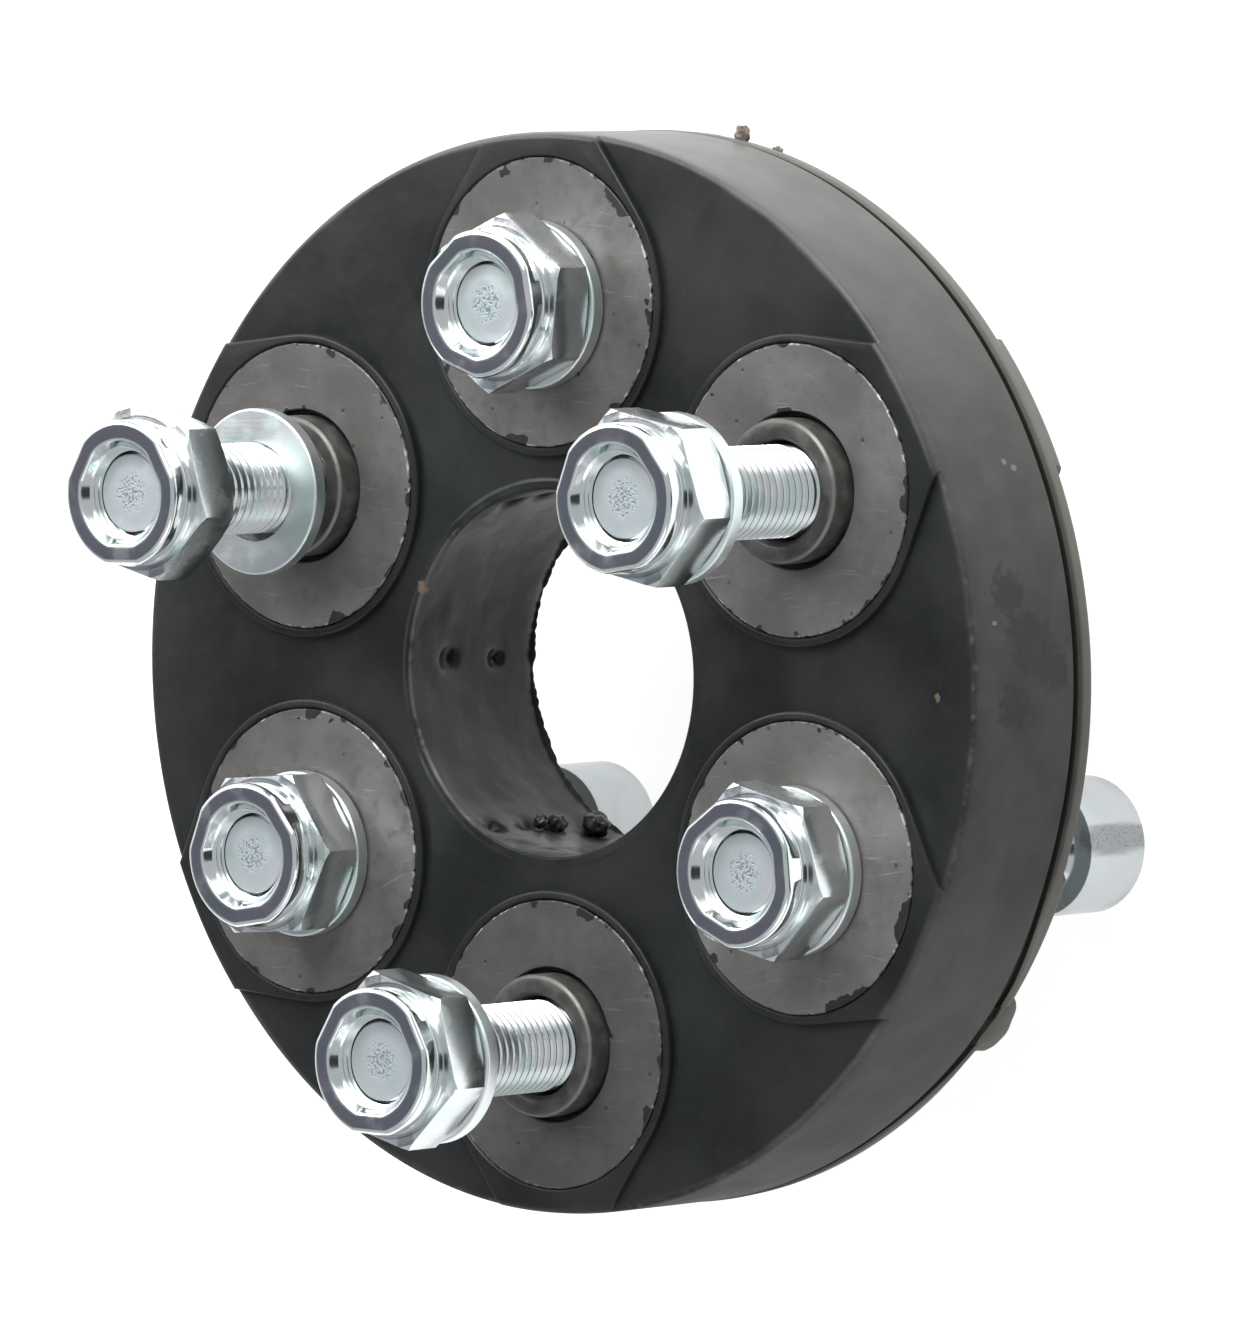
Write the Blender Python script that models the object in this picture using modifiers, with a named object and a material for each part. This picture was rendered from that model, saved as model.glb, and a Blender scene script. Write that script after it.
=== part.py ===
"""Six-bolt rubber driveshaft coupling with its bolts, nuts and washers loosely fitted.

The disc lies flat with its front face up, on the heads of the three bolts that stand off at the rear.
Station 1 is at +Y and the others follow clockwise, seen from the front. Lengths are in metres.
"""

import math

import bmesh
import bpy
from mathutils import Matrix

# Disc
STATIONS = 6
DISC_RADIUS = 0.070
HOLE_RADIUS = 0.0238
PITCH_RADIUS = 0.048
FACE_DISTANCE = 0.0265
BOSS_RISE = 0.0010
RIM_ROUNDING = 0.0008
HOLE_CHAMFER = 0.0006
RIM_GROOVE_DEPTH = 0.0011
RIM_GROOVE_WIDTH = 0.0014
RIM_LIP_WIDTH = 0.0030

# Raised teardrop bosses round the plates
BOSS_RADIUS = 0.0200
BOSS_HALF_ANGLE = math.radians(36)
BOSS_SHOULDER_WIDTH = 0.0010
BOSS_RIM_INSET = 0.0004
BOSS_ROOT = 0.0015

# Steel face plates and sleeves
PLATE_RADIUS = 0.0187
PLATE_HOLE_RADIUS = 0.0101
PLATE_THICKNESS = 0.0015
SLEEVE_RADIUS = 0.0093
SLEEVE_BORE_RADIUS = 0.0065
SLEEVE_CHAMFER = 0.0007
SLEEVE_RISE = 0.0030

# Cord packs wound round pairs of sleeves
CORD_SKIN = 0.0017
CORD_WEB = 0.0010
CORD_THIN_PACK = 0.0045
CORD_WIDTH = 0.0060

# Screws
THREAD_RADIUS = 0.0060
THREAD_ROOT_DEPTH = 0.0003
THREAD_LENGTH = 0.036
SCREW_LENGTH = 0.060
SCREW_POINT = 0.0008
HEAD_RADIUS = 0.0090
HEAD_HEIGHT = 0.0120
HEAD_CHAMFER = 0.0008
SOCKET_ACROSS_FLATS = 0.0100
SOCKET_DEPTH = 0.0060

# Collar nuts, with the angle of a corner of each one's hexagon and of the first of its locking crimps
NUT_ACROSS_FLATS = 0.0198
NUT_HEIGHT = 0.0103
NUT_HEX_HEIGHT = 0.0064
NUT_FACE_RADIUS = 0.0096
NUT_CHAMFER_ANGLE = math.radians(30)
NUT_NECK_RADIUS = 0.0088
NUT_NECK_HEIGHT = 0.0006
NUT_COLLAR_RADIUS = 0.0094
NUT_COLLAR_ROUNDING = 0.0007
NUT_MOUTH_RADIUS = 0.0070
NUT_MOUTH_DEPTH = 0.0016
NUT_CRIMPS = 3
NUT_CRIMP_DEPTH = 0.0005
NUT_TURNS = [math.radians(angle) for angle in (22.6, 47.5, 45.7, 43.7, 3.2, 44.5)]
NUT_CRIMP_TURNS = [math.radians(angle) for angle in (10, 38, 5, 28, 38, 30)]
SCREW_END_RECESS = 0.0023

# Washers
WASHER_RADIUS = 0.0109
WASHER_BORE_RADIUS = 0.0065
WASHER_THICKNESS = 0.0020
WASHER_ROUNDING = 0.0003
LOOSE_WASHER_STATION = 6
LOOSE_WASHER_LIFT = 0.0046
LOOSE_WASHER_SAG = 0.0002

# Fits and facets
CLEARANCE = 0.0003
DISC_FACETS = 60
PLATE_FACETS = 20
SMALL_FACETS = 16
BOSS_ARC_FACETS = 12
CORD_ARC_FACETS = 8
SHARP_ANGLE = math.radians(28)

# Heights that follow from the stack of a standing-off screw, nut and washer
REAR_HEAD_SEAT = HEAD_HEIGHT
LOW_NUT_BASE = REAR_HEAD_SEAT + SCREW_LENGTH + SCREW_END_RECESS - NUT_HEIGHT
FRONT_PLANE = LOW_NUT_BASE - CLEARANCE - WASHER_THICKNESS - CLEARANCE
REAR_PLANE = FRONT_PLANE - FACE_DISTANCE
FRONT_RUBBER = FRONT_PLANE - BOSS_RISE
REAR_RUBBER = REAR_PLANE + BOSS_RISE
HIGH_HEAD_SEAT = REAR_PLANE - CLEARANCE
HIGH_NUT_BASE = HIGH_HEAD_SEAT + SCREW_LENGTH + SCREW_END_RECESS - NUT_HEIGHT


def clear_scene():
    for item in list(bpy.data.objects):
        bpy.data.objects.remove(item)


def new_group(name):
    group = bpy.data.collections.new(name)
    bpy.context.scene.collection.children.link(group)
    return group


def finish(name, colour, roughness, metallic):
    material = bpy.data.materials.new(name)
    material.use_nodes = True
    shader = material.node_tree.nodes["Principled BSDF"]
    shader.inputs["Base Color"].default_value = (*colour, 1)
    shader.inputs["Roughness"].default_value = roughness
    shader.inputs["Metallic"].default_value = metallic
    return material


def station_place(station):
    angle = math.pi / 2 - (station - 1) * 2 * math.pi / STATIONS
    return PITCH_RADIUS * math.cos(angle), PITCH_RADIUS * math.sin(angle), angle


def is_high(station):
    """Even stations carry their screw pushed right through to the front."""
    return station % 2 == 0


def add_piece(name, mesh, material, place=(0, 0, 0), turn=0.0):
    piece = bpy.data.objects.new(name, mesh)
    piece.location = place
    piece.rotation_euler = (0, 0, turn)
    if not mesh.materials:
        mesh.materials.append(material)
    parts.objects.link(piece)
    return piece


def add_cutter(name, mesh):
    cutter = bpy.data.objects.new(name, mesh)
    cutter.hide_render = True
    cutter.display_type = "WIRE"
    cutters.objects.link(cutter)
    return cutter


def boolean(piece, cutter, operation):
    step = piece.modifiers.new(cutter.name, "BOOLEAN")
    step.operation = operation
    step.object = cutter


def outline_mesh(name, points, closed):
    """Edges through (radius, height) points, down the outer side first."""
    mesh = bpy.data.meshes.new(name)
    shape = bmesh.new()
    corners = [shape.verts.new((radius, 0, height)) for radius, height in points]
    for first, second in zip(corners, corners[1:]):
        shape.edges.new((first, second))
    if closed:
        shape.edges.new((corners[-1], corners[0]))
    shape.to_mesh(mesh)
    shape.free()
    return mesh


def evaluated_mesh(source, name):
    """The closed mesh of a temporary object, which is removed. It is smooth but for its sharp edges."""
    bpy.context.scene.collection.objects.link(source)
    graph = bpy.context.evaluated_depsgraph_get()
    mesh = bpy.data.meshes.new_from_object(source.evaluated_get(graph))
    mesh.name = name
    bpy.data.objects.remove(source)
    shape = bmesh.new()
    shape.from_mesh(mesh)
    bmesh.ops.remove_doubles(shape, verts=shape.verts, dist=0.000001)
    bmesh.ops.recalc_face_normals(shape, faces=shape.faces)
    shape.to_mesh(mesh)
    shape.free()
    mesh.shade_smooth()
    mesh.set_sharp_from_angle(angle=SHARP_ANGLE)
    return mesh


def turned_mesh(name, points, facets, closed=True):
    """A profile turned round Z. An open one starts and ends on the axis."""
    source = bpy.data.objects.new(name, outline_mesh(name, points, closed))
    step = source.modifiers.new("Turned", "SCREW")
    step.steps = facets
    step.render_steps = facets
    step.use_merge_vertices = True
    step.merge_threshold = 0.00001
    return evaluated_mesh(source, name)


def prism_mesh(name, outlines, low, high):
    """A flat outline given thickness. Outlines after the first are holes in it."""
    curve = bpy.data.curves.new(name, "CURVE")
    curve.dimensions = "2D"
    curve.fill_mode = "BOTH"
    curve.extrude = (high - low) / 2
    for outline in outlines:
        spline = curve.splines.new("POLY")
        spline.points.add(len(outline) - 1)
        for point, (x, y) in zip(spline.points, outline):
            point.co = (x, y, 0, 1)
        spline.use_cyclic_u = True
    mesh = evaluated_mesh(bpy.data.objects.new(name, curve), name)
    for vertex in mesh.vertices:
        vertex.co.z += (low + high) / 2
    return mesh


def joined_mesh(name, copies):
    """One mesh of several closed bodies, each given as a mesh with its place and turn."""
    mesh = bpy.data.meshes.new(name)
    shape = bmesh.new()
    for source, place, turn in copies:
        before = len(shape.verts)
        shape.from_mesh(source)
        shape.verts.ensure_lookup_table()
        added = shape.verts[before:]
        bmesh.ops.rotate(shape, verts=added, matrix=Matrix.Rotation(turn, 3, "Z"))
        bmesh.ops.translate(shape, verts=added, vec=place)
    shape.to_mesh(mesh)
    shape.free()
    return mesh


def arc(centre, radius, start, end, facets):
    steps = [start + (end - start) * step / facets for step in range(facets + 1)]
    return [(centre[0] + radius * math.cos(a), centre[1] + radius * math.sin(a)) for a in steps]


def corner_radius(radius, facets):
    """Corner radius of a faceted hole or block whose flats lie at the given radius."""
    return radius / math.cos(math.pi / facets)


def hexagon(across_flats):
    corner = corner_radius(across_flats / 2, 6)
    return [(corner * math.cos(k * math.pi / 3), corner * math.sin(k * math.pi / 3)) for k in range(6)]


def stadium(half_length, radius, facets):
    """Two half circles joined by straight runs, lengthwise along X."""
    right = arc((half_length, 0), radius, -math.pi / 2, math.pi / 2, facets)
    left = arc((-half_length, 0), radius, math.pi / 2, 3 * math.pi / 2, facets)
    return right + left


def teardrop(reach):
    """Boss outline about its plate at the origin, pointing along +X out past the rim."""
    open_angle = math.pi / 2 - BOSS_HALF_ANGLE
    inner = arc((0, 0), BOSS_RADIUS, open_angle, 2 * math.pi - open_angle, BOSS_ARC_FACETS)
    run = (reach - BOSS_RADIUS * math.sin(BOSS_HALF_ANGLE)) / math.cos(BOSS_HALF_ANGLE)
    start, end = inner[0], inner[-1]
    step_x, step_y = run * math.cos(BOSS_HALF_ANGLE), run * math.sin(BOSS_HALF_ANGLE)
    return inner + [(end[0] + step_x, end[1] + step_y), (start[0] + step_x, start[1] - step_y)]


def disc_profile():
    lip_top = REAR_RUBBER + RIM_LIP_WIDTH
    groove_top = lip_top + RIM_GROOVE_WIDTH
    groove_radius = DISC_RADIUS - RIM_GROOVE_DEPTH
    top_corner = (DISC_RADIUS - RIM_ROUNDING, FRONT_RUBBER - RIM_ROUNDING)
    low_corner = (DISC_RADIUS - RIM_ROUNDING, REAR_RUBBER + RIM_ROUNDING)
    return [
        *arc(top_corner, RIM_ROUNDING, math.pi / 2, 0, 2),
        (DISC_RADIUS, groove_top),
        (groove_radius, groove_top - RIM_GROOVE_WIDTH / 4),
        (groove_radius, lip_top + RIM_GROOVE_WIDTH / 4),
        (DISC_RADIUS, lip_top),
        *arc(low_corner, RIM_ROUNDING, 0, -math.pi / 2, 2),
        (HOLE_RADIUS + HOLE_CHAMFER, REAR_RUBBER),
        (HOLE_RADIUS, REAR_RUBBER + HOLE_CHAMFER),
        (HOLE_RADIUS, FRONT_RUBBER - HOLE_CHAMFER),
        (HOLE_RADIUS + HOLE_CHAMFER, FRONT_RUBBER),
    ]


def boss_ring_profile(face, plane):
    """A raised ring that falls to the rim in a soft shoulder, as (radius, height) from the face outward."""
    outer = DISC_RADIUS - BOSS_RIM_INSET
    shoulder = outer - BOSS_SHOULDER_WIDTH
    inner = PITCH_RADIUS - BOSS_RADIUS - CLEARANCE
    outward = plane - face
    root = face - math.copysign(BOSS_ROOT, outward)
    return [
        (shoulder, plane),
        ((outer + shoulder) / 2, plane - outward / 3),
        (outer, face - outward / 3),
        (outer, root),
        (inner, root),
        (inner, plane),
    ]


def add_bosses(side, face, plane):
    """Teardrop bosses of one face, each reaching out to the rim."""
    reach = DISC_RADIUS - PITCH_RADIUS + BOSS_SHOULDER_WIDTH
    low, high = min(face, plane) - BOSS_ROOT - BOSS_RISE, max(face, plane) + BOSS_ROOT + BOSS_RISE
    column = prism_mesh("boss_column", [teardrop(reach)], low, high)
    places = [station_place(station) for station in range(1, STATIONS + 1)]
    columns = joined_mesh(f"{side}_bosses", [(column, (x, y, 0), turn) for x, y, turn in places])
    bosses = add_cutter(f"{side}_bosses", columns)
    ring = turned_mesh(f"{side}_boss_ring", boss_ring_profile(face, plane), DISC_FACETS)
    boolean(bosses, add_cutter(f"{side}_boss_ring", ring), "INTERSECT")
    return bosses


def add_station_bores():
    """At each station a bore for the sleeve, stepped out at both faces for the plates."""
    depth = PLATE_THICKNESS + CLEARANCE
    pocket = corner_radius(PLATE_RADIUS + CLEARANCE, PLATE_FACETS)
    bore = corner_radius(SLEEVE_RADIUS + CLEARANCE, PLATE_FACETS)
    outline = [
        (0, FRONT_PLANE + depth),
        (pocket, FRONT_PLANE + depth),
        (pocket, FRONT_PLANE - depth),
        (bore, FRONT_PLANE - depth),
        (bore, REAR_PLANE + depth),
        (pocket, REAR_PLANE + depth),
        (pocket, REAR_PLANE - depth),
        (0, REAR_PLANE - depth),
    ]
    hole = turned_mesh("station_bore", outline, PLATE_FACETS, closed=False)
    places = [station_place(station) for station in range(1, STATIONS + 1)]
    holes = joined_mesh("station_bores", [(hole, (x, y, 0), turn) for x, y, turn in places])
    return add_cutter("station_bores", holes)


def cord_packs():
    """Name, low height, high height and pair of stations of each pack of cord."""
    depth = PLATE_THICKNESS + CLEARANCE + CORD_SKIN
    front_high = FRONT_PLANE - depth
    front_low = front_high - CORD_THIN_PACK
    rear_low = REAR_PLANE + depth
    rear_high = rear_low + CORD_THIN_PACK
    thick_low, thick_high = rear_high + CORD_WEB, front_low - CORD_WEB
    packs = []
    for first in range(1, STATIONS + 1):
        second = first % STATIONS + 1
        pair = f"{first}_{second}"
        if is_high(first):
            packs.append((f"cord_pack_front_{pair}", front_low, front_high, first, second))
            packs.append((f"cord_pack_rear_{pair}", rear_low, rear_high, first, second))
        else:
            packs.append((f"cord_pack_middle_{pair}", thick_low, thick_high, first, second))
    return packs


def pair_frame(first, second):
    """Middle of two stations, the turn of the line through them and half its length."""
    x1, y1, _ = station_place(first)
    x2, y2, _ = station_place(second)
    turn = math.atan2(y2 - y1, x2 - x1)
    return ((x1 + x2) / 2, (y1 + y2) / 2, 0), turn, math.hypot(x2 - x1, y2 - y1) / 2


def cord_outlines(half_length, gap):
    """Outer and inner outline of a pack wound round two sleeves, let out by a gap all round."""
    inner = corner_radius(SLEEVE_RADIUS + CLEARANCE, 2 * CORD_ARC_FACETS)
    outer = stadium(half_length, inner + CORD_WIDTH + gap, CORD_ARC_FACETS)
    return [outer, stadium(half_length, inner - gap, CORD_ARC_FACETS)]


def add_cord_cavities():
    copies = []
    for name, low, high, first, second in cord_packs():
        middle, turn, half_length = pair_frame(first, second)
        outlines = cord_outlines(half_length, CLEARANCE)
        cavity = prism_mesh("cord_cavity", outlines, low - CLEARANCE, high + CLEARANCE)
        copies.append((cavity, middle, turn))
    return add_cutter("cord_cavities", joined_mesh("cord_cavities", copies))


def add_rubber_body():
    body = add_piece("rubber_body", turned_mesh("rubber_body", disc_profile(), DISC_FACETS), rubber)
    boolean(body, add_bosses("front", FRONT_RUBBER, FRONT_PLANE), "UNION")
    boolean(body, add_bosses("rear", REAR_RUBBER, REAR_PLANE), "UNION")
    boolean(body, add_station_bores(), "DIFFERENCE")
    boolean(body, add_cord_cavities(), "DIFFERENCE")


def add_cord_packs():
    for name, low, high, first, second in cord_packs():
        middle, turn, half_length = pair_frame(first, second)
        pack = prism_mesh("cord_pack", cord_outlines(half_length, 0), low, high)
        add_piece(name, pack, cord, middle, turn)


def add_plates():
    hole = corner_radius(PLATE_HOLE_RADIUS, PLATE_FACETS)
    outline = [
        (PLATE_RADIUS, PLATE_THICKNESS),
        (PLATE_RADIUS, 0),
        (hole, 0),
        (hole, PLATE_THICKNESS),
    ]
    plate = turned_mesh("plate", outline, PLATE_FACETS)
    for side, base in (("front", FRONT_PLANE - PLATE_THICKNESS), ("rear", REAR_PLANE)):
        for station in range(1, STATIONS + 1):
            x, y, turn = station_place(station)
            add_piece(f"{side}_plate_{station}", plate, plate_steel, (x, y, base), turn)


def add_sleeves():
    """Each sleeve is flush with one face and stands out of the other."""
    length = FACE_DISTANCE + SLEEVE_RISE
    edge = SLEEVE_CHAMFER
    bore = corner_radius(SLEEVE_BORE_RADIUS, SMALL_FACETS)
    outline = [
        (SLEEVE_RADIUS - edge, length),
        (SLEEVE_RADIUS, length - edge),
        (SLEEVE_RADIUS, edge),
        (SLEEVE_RADIUS - edge, 0),
        (bore + edge, 0),
        (bore, edge),
        (bore, length - edge),
        (bore + edge, length),
    ]
    sleeve = turned_mesh("sleeve", outline, SMALL_FACETS)
    for station in range(1, STATIONS + 1):
        x, y, turn = station_place(station)
        base = REAR_PLANE if is_high(station) else REAR_PLANE - SLEEVE_RISE
        add_piece(f"sleeve_{station}", sleeve, sleeve_steel, (x, y, base), turn)


def add_screws():
    """Socket-head screws put in from the rear. Their height is measured from under the head."""
    root = THREAD_RADIUS - THREAD_ROOT_DEPTH
    thread_start = SCREW_LENGTH - THREAD_LENGTH
    outline = [
        (0, SCREW_LENGTH),
        (root - SCREW_POINT, SCREW_LENGTH),
        (root, SCREW_LENGTH - SCREW_POINT),
        (root, thread_start),
        (THREAD_RADIUS, thread_start - THREAD_ROOT_DEPTH),
        (THREAD_RADIUS, 0),
        (HEAD_RADIUS, 0),
        (HEAD_RADIUS, HEAD_CHAMFER - HEAD_HEIGHT),
        (HEAD_RADIUS - HEAD_CHAMFER, -HEAD_HEIGHT),
        (0, -HEAD_HEIGHT),
    ]
    shank = turned_mesh("screw", outline, SMALL_FACETS, closed=False)
    bottom = -HEAD_HEIGHT
    key = prism_mesh("key", [hexagon(SOCKET_ACROSS_FLATS)], bottom - SOCKET_DEPTH, bottom + SOCKET_DEPTH)
    for station in range(1, STATIONS + 1):
        x, y, turn = station_place(station)
        seat = HIGH_HEAD_SEAT if is_high(station) else REAR_HEAD_SEAT
        screw = add_piece(f"screw_{station}", shank, zinc, (x, y, seat), turn)
        cutter = add_cutter(f"key_{station}", key)
        cutter.location = screw.location
        boolean(screw, cutter, "DIFFERENCE")


def nut_profile():
    """Round envelope of the nut: seat chamfer, hexagon chamfer, neck, collar and mouth."""
    reach = corner_radius(corner_radius(NUT_ACROSS_FLATS / 2, 6), SMALL_FACETS) + CLEARANCE
    chamfer = (reach - NUT_FACE_RADIUS) * math.tan(NUT_CHAMFER_ANGLE)
    bore = corner_radius(THREAD_RADIUS + CLEARANCE, SMALL_FACETS)
    neck_top = NUT_HEX_HEIGHT + NUT_NECK_HEIGHT
    collar = (NUT_COLLAR_RADIUS - NUT_COLLAR_ROUNDING, NUT_HEIGHT - NUT_COLLAR_ROUNDING)
    return [
        *arc(collar, NUT_COLLAR_ROUNDING, math.pi / 2, 0, 2),
        (NUT_NECK_RADIUS, neck_top),
        (NUT_NECK_RADIUS, NUT_HEX_HEIGHT),
        (NUT_FACE_RADIUS, NUT_HEX_HEIGHT),
        (reach, NUT_HEX_HEIGHT - chamfer),
        (reach, chamfer),
        (NUT_FACE_RADIUS, 0),
        (bore, 0),
        (bore, NUT_HEIGHT - NUT_MOUTH_DEPTH),
        (NUT_MOUTH_RADIUS, NUT_HEIGHT),
    ]


def nut_base(station):
    return HIGH_NUT_BASE if is_high(station) else LOW_NUT_BASE


def crimps_mesh():
    """Blocks outside the collar that flatten it at equal turns, above the neck."""
    flat = NUT_COLLAR_RADIUS - NUT_CRIMP_DEPTH
    outside = NUT_COLLAR_RADIUS + NUT_CRIMP_DEPTH
    half_width = math.sqrt(NUT_COLLAR_RADIUS**2 - flat**2) + NUT_CRIMP_DEPTH
    outline = [(flat, -half_width), (outside, -half_width), (outside, half_width), (flat, half_width)]
    low, high = NUT_HEX_HEIGHT + NUT_NECK_HEIGHT, NUT_HEIGHT + NUT_CRIMP_DEPTH
    block = prism_mesh("crimp", [outline], low, high)
    turns = [crimp * 2 * math.pi / NUT_CRIMPS for crimp in range(NUT_CRIMPS)]
    return joined_mesh("crimps", [(block, (0, 0, 0), turn) for turn in turns])


def add_nuts():
    """Each nut is its round envelope, cut to a hexagon below and crimped at its collar."""
    envelope = turned_mesh("nut", nut_profile(), SMALL_FACETS)
    block = prism_mesh("nut_block", [hexagon(NUT_ACROSS_FLATS)], -NUT_HEIGHT, 2 * NUT_HEIGHT)
    crimps = crimps_mesh()
    for station in range(1, STATIONS + 1):
        x, y, _ = station_place(station)
        place = (x, y, nut_base(station))
        hexagon_turn, crimp_turn = NUT_TURNS[station - 1], NUT_CRIMP_TURNS[station - 1]
        nut = add_piece(f"nut_{station}", envelope, zinc, place, hexagon_turn)
        for shape, turn, operation in ((block, hexagon_turn, "INTERSECT"), (crimps, crimp_turn, "DIFFERENCE")):
            cutter = add_cutter(f"{shape.name}_{station}", shape)
            cutter.location = place
            cutter.rotation_euler = (0, 0, turn)
            boolean(nut, cutter, operation)


def add_washers():
    """Each washer lies under its nut, but for one that hangs loose on its screw."""
    edge = WASHER_ROUNDING
    bore = corner_radius(WASHER_BORE_RADIUS, SMALL_FACETS)
    outline = [
        (WASHER_RADIUS - edge, WASHER_THICKNESS),
        (WASHER_RADIUS, WASHER_THICKNESS - edge),
        (WASHER_RADIUS, 0),
        (bore, 0),
        (bore, WASHER_THICKNESS),
    ]
    washer = turned_mesh("washer", outline, SMALL_FACETS)
    for station in range(1, STATIONS + 1):
        x, y, turn = station_place(station)
        base = nut_base(station) - CLEARANCE - WASHER_THICKNESS
        if station == LOOSE_WASHER_STATION:
            base = FRONT_PLANE + SLEEVE_RISE + LOOSE_WASHER_LIFT
            y -= LOOSE_WASHER_SAG
        add_piece(f"washer_{station}", washer, zinc, (x, y, base), turn)


clear_scene()
parts = new_group("driveshaft_flex_disc")
cutters = new_group("cutters")
rubber = finish("moulded rubber", (0.030, 0.032, 0.034), 0.60, 0.0)
cord = finish("polyester cord", (0.42, 0.36, 0.26), 0.85, 0.0)
plate_steel = finish("phosphated plate steel", (0.20, 0.195, 0.185), 0.50, 0.6)
sleeve_steel = finish("dark sleeve steel", (0.15, 0.15, 0.145), 0.42, 0.7)
zinc = finish("bright zinc plate", (0.78, 0.81, 0.82), 0.22, 1.0)

add_rubber_body()
add_cord_packs()
add_plates()
add_sleeves()
add_screws()
add_nuts()
add_washers()
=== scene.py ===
"""Rubber driveshaft disc with its screws, washers and collar nuts loosely fitted."""

import math

import bmesh
import bpy
from mathutils import Matrix, Vector, noise


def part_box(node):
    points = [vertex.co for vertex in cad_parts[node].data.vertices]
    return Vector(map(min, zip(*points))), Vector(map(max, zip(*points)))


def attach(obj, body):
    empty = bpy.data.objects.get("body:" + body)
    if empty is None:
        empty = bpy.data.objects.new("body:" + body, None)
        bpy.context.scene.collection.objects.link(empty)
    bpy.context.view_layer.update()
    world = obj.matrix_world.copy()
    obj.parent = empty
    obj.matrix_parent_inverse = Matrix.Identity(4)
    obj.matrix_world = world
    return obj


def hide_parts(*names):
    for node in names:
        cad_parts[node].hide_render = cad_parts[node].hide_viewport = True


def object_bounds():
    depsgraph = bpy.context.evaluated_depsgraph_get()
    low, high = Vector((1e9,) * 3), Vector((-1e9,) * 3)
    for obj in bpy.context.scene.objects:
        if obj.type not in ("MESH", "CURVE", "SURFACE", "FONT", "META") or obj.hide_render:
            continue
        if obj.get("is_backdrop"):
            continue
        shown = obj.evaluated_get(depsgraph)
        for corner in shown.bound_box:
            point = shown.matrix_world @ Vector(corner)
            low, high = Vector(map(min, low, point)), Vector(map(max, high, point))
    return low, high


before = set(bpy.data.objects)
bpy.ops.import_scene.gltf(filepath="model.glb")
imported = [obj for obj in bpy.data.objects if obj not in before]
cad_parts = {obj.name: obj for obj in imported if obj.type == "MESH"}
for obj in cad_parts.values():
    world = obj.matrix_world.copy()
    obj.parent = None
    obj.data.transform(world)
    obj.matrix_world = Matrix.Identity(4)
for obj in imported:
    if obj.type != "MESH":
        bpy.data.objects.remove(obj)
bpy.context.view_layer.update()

# Rubber ring. It is compression moulded in one piece, with a raised teardrop boss round each station on
# both faces, a mould line and a thin lip near the rear face, and torn flash on its edges. Each station is
# bored through for a steel sleeve and let in for a face plate.
MM = 0.001
STATIONS = range(1, 7)
ring_low, ring_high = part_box("rubber_body")
RIM_RADIUS = ring_high.x
FRONT = ring_high.z
REAR = ring_low.z
BOSS_RISE = 1.0 * MM
FRONT_FACE = FRONT - BOSS_RISE
REAR_FACE = REAR + BOSS_RISE
HOLE_RADIUS = 23.8 * MM
RING_STEPS = 360
BORE_STEPS = 96
RIM_EDGE = 0.75 * MM
LIP_EDGE = 1.1 * MM
HOLE_EDGE = 0.3 * MM
CREASE_HEIGHT = FRONT - 21.6 * MM
CREASE_WIDTH = 1.0 * MM
CREASE_DEPTH = 1.1 * MM
WALL_ROWS = 54
BAND_ROWS = 12
BOSS_RADIUS = 20.0 * MM
BOSS_HALF_ANGLE = math.radians(36)
BOSS_EDGE = 0.4 * MM
BOSS_ROOT = 1.5 * MM
BOSS_ARC_STEPS = 44
SHOULDER = 0.9 * MM
SHOULDER_INSET = 0.05 * MM
SLUMP_ANGLE = math.radians(-40)
SLUMP_SPREAD = math.radians(13)
SLUMP_DROP = 1.3 * MM
SLUMP_GAPE = 0.8 * MM
SMOOTH_BELOW = math.radians(32)


def add_node(tree, kind, inputs=None, **settings):
    """A shader node with its settings. Each input is a value or the socket that feeds it."""
    node = tree.nodes.new(kind)
    for name, value in settings.items():
        setattr(node, name, value)
    for name, value in (inputs or {}).items():
        if isinstance(value, bpy.types.NodeSocket):
            tree.links.new(value, node.inputs[name])
        else:
            node.inputs[name].default_value = value
    return node


def new_group(name, inputs, outputs):
    """A shader node group, with its input and output nodes. Inputs give a socket type and a default."""
    tree = bpy.data.node_groups.new(name, "ShaderNodeTree")
    for socket, (kind, default) in inputs.items():
        item = tree.interface.new_socket(socket, in_out="INPUT", socket_type=f"NodeSocket{kind}")
        if default is not None:
            item.default_value = default
    for socket in outputs:
        tree.interface.new_socket(socket, in_out="OUTPUT", socket_type="NodeSocketFloat")
    return tree, tree.nodes.new("NodeGroupInput").outputs, tree.nodes.new("NodeGroupOutput").inputs


def use_group(tree, group, inputs):
    return add_node(tree, "ShaderNodeGroup", inputs, node_tree=group).outputs


def math_node(tree, operation, first, second=0.0, clamp=False):
    inputs = {0: first, 1: second}
    return add_node(tree, "ShaderNodeMath", inputs, operation=operation, use_clamp=clamp).outputs[0]


def ramp(tree, value, start, end, low=0.0, high=1.0):
    """A soft step of a value from low at start to high at end."""
    inputs = {"Value": value, "From Min": start, "From Max": end, "To Min": low, "To Max": high}
    node = add_node(tree, "ShaderNodeMapRange", inputs, interpolation_type="SMOOTHSTEP")
    return node.outputs["Result"]


def mix_colour(tree, factor, first, second, blend="MIX"):
    node = add_node(tree, "ShaderNodeMix", {"Factor": factor}, data_type="RGBA", blend_type=blend)
    for index, value in ((6, first), (7, second)):
        if isinstance(value, bpy.types.NodeSocket):
            tree.links.new(value, node.inputs[index])
        else:
            node.inputs[index].default_value = (*value, 1)
    return node.outputs[2]


def times(tree, first, second):
    return math_node(tree, "MULTIPLY", first, second)


def plus(tree, first, second, clamp=False):
    return math_node(tree, "ADD", first, second, clamp)


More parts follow.
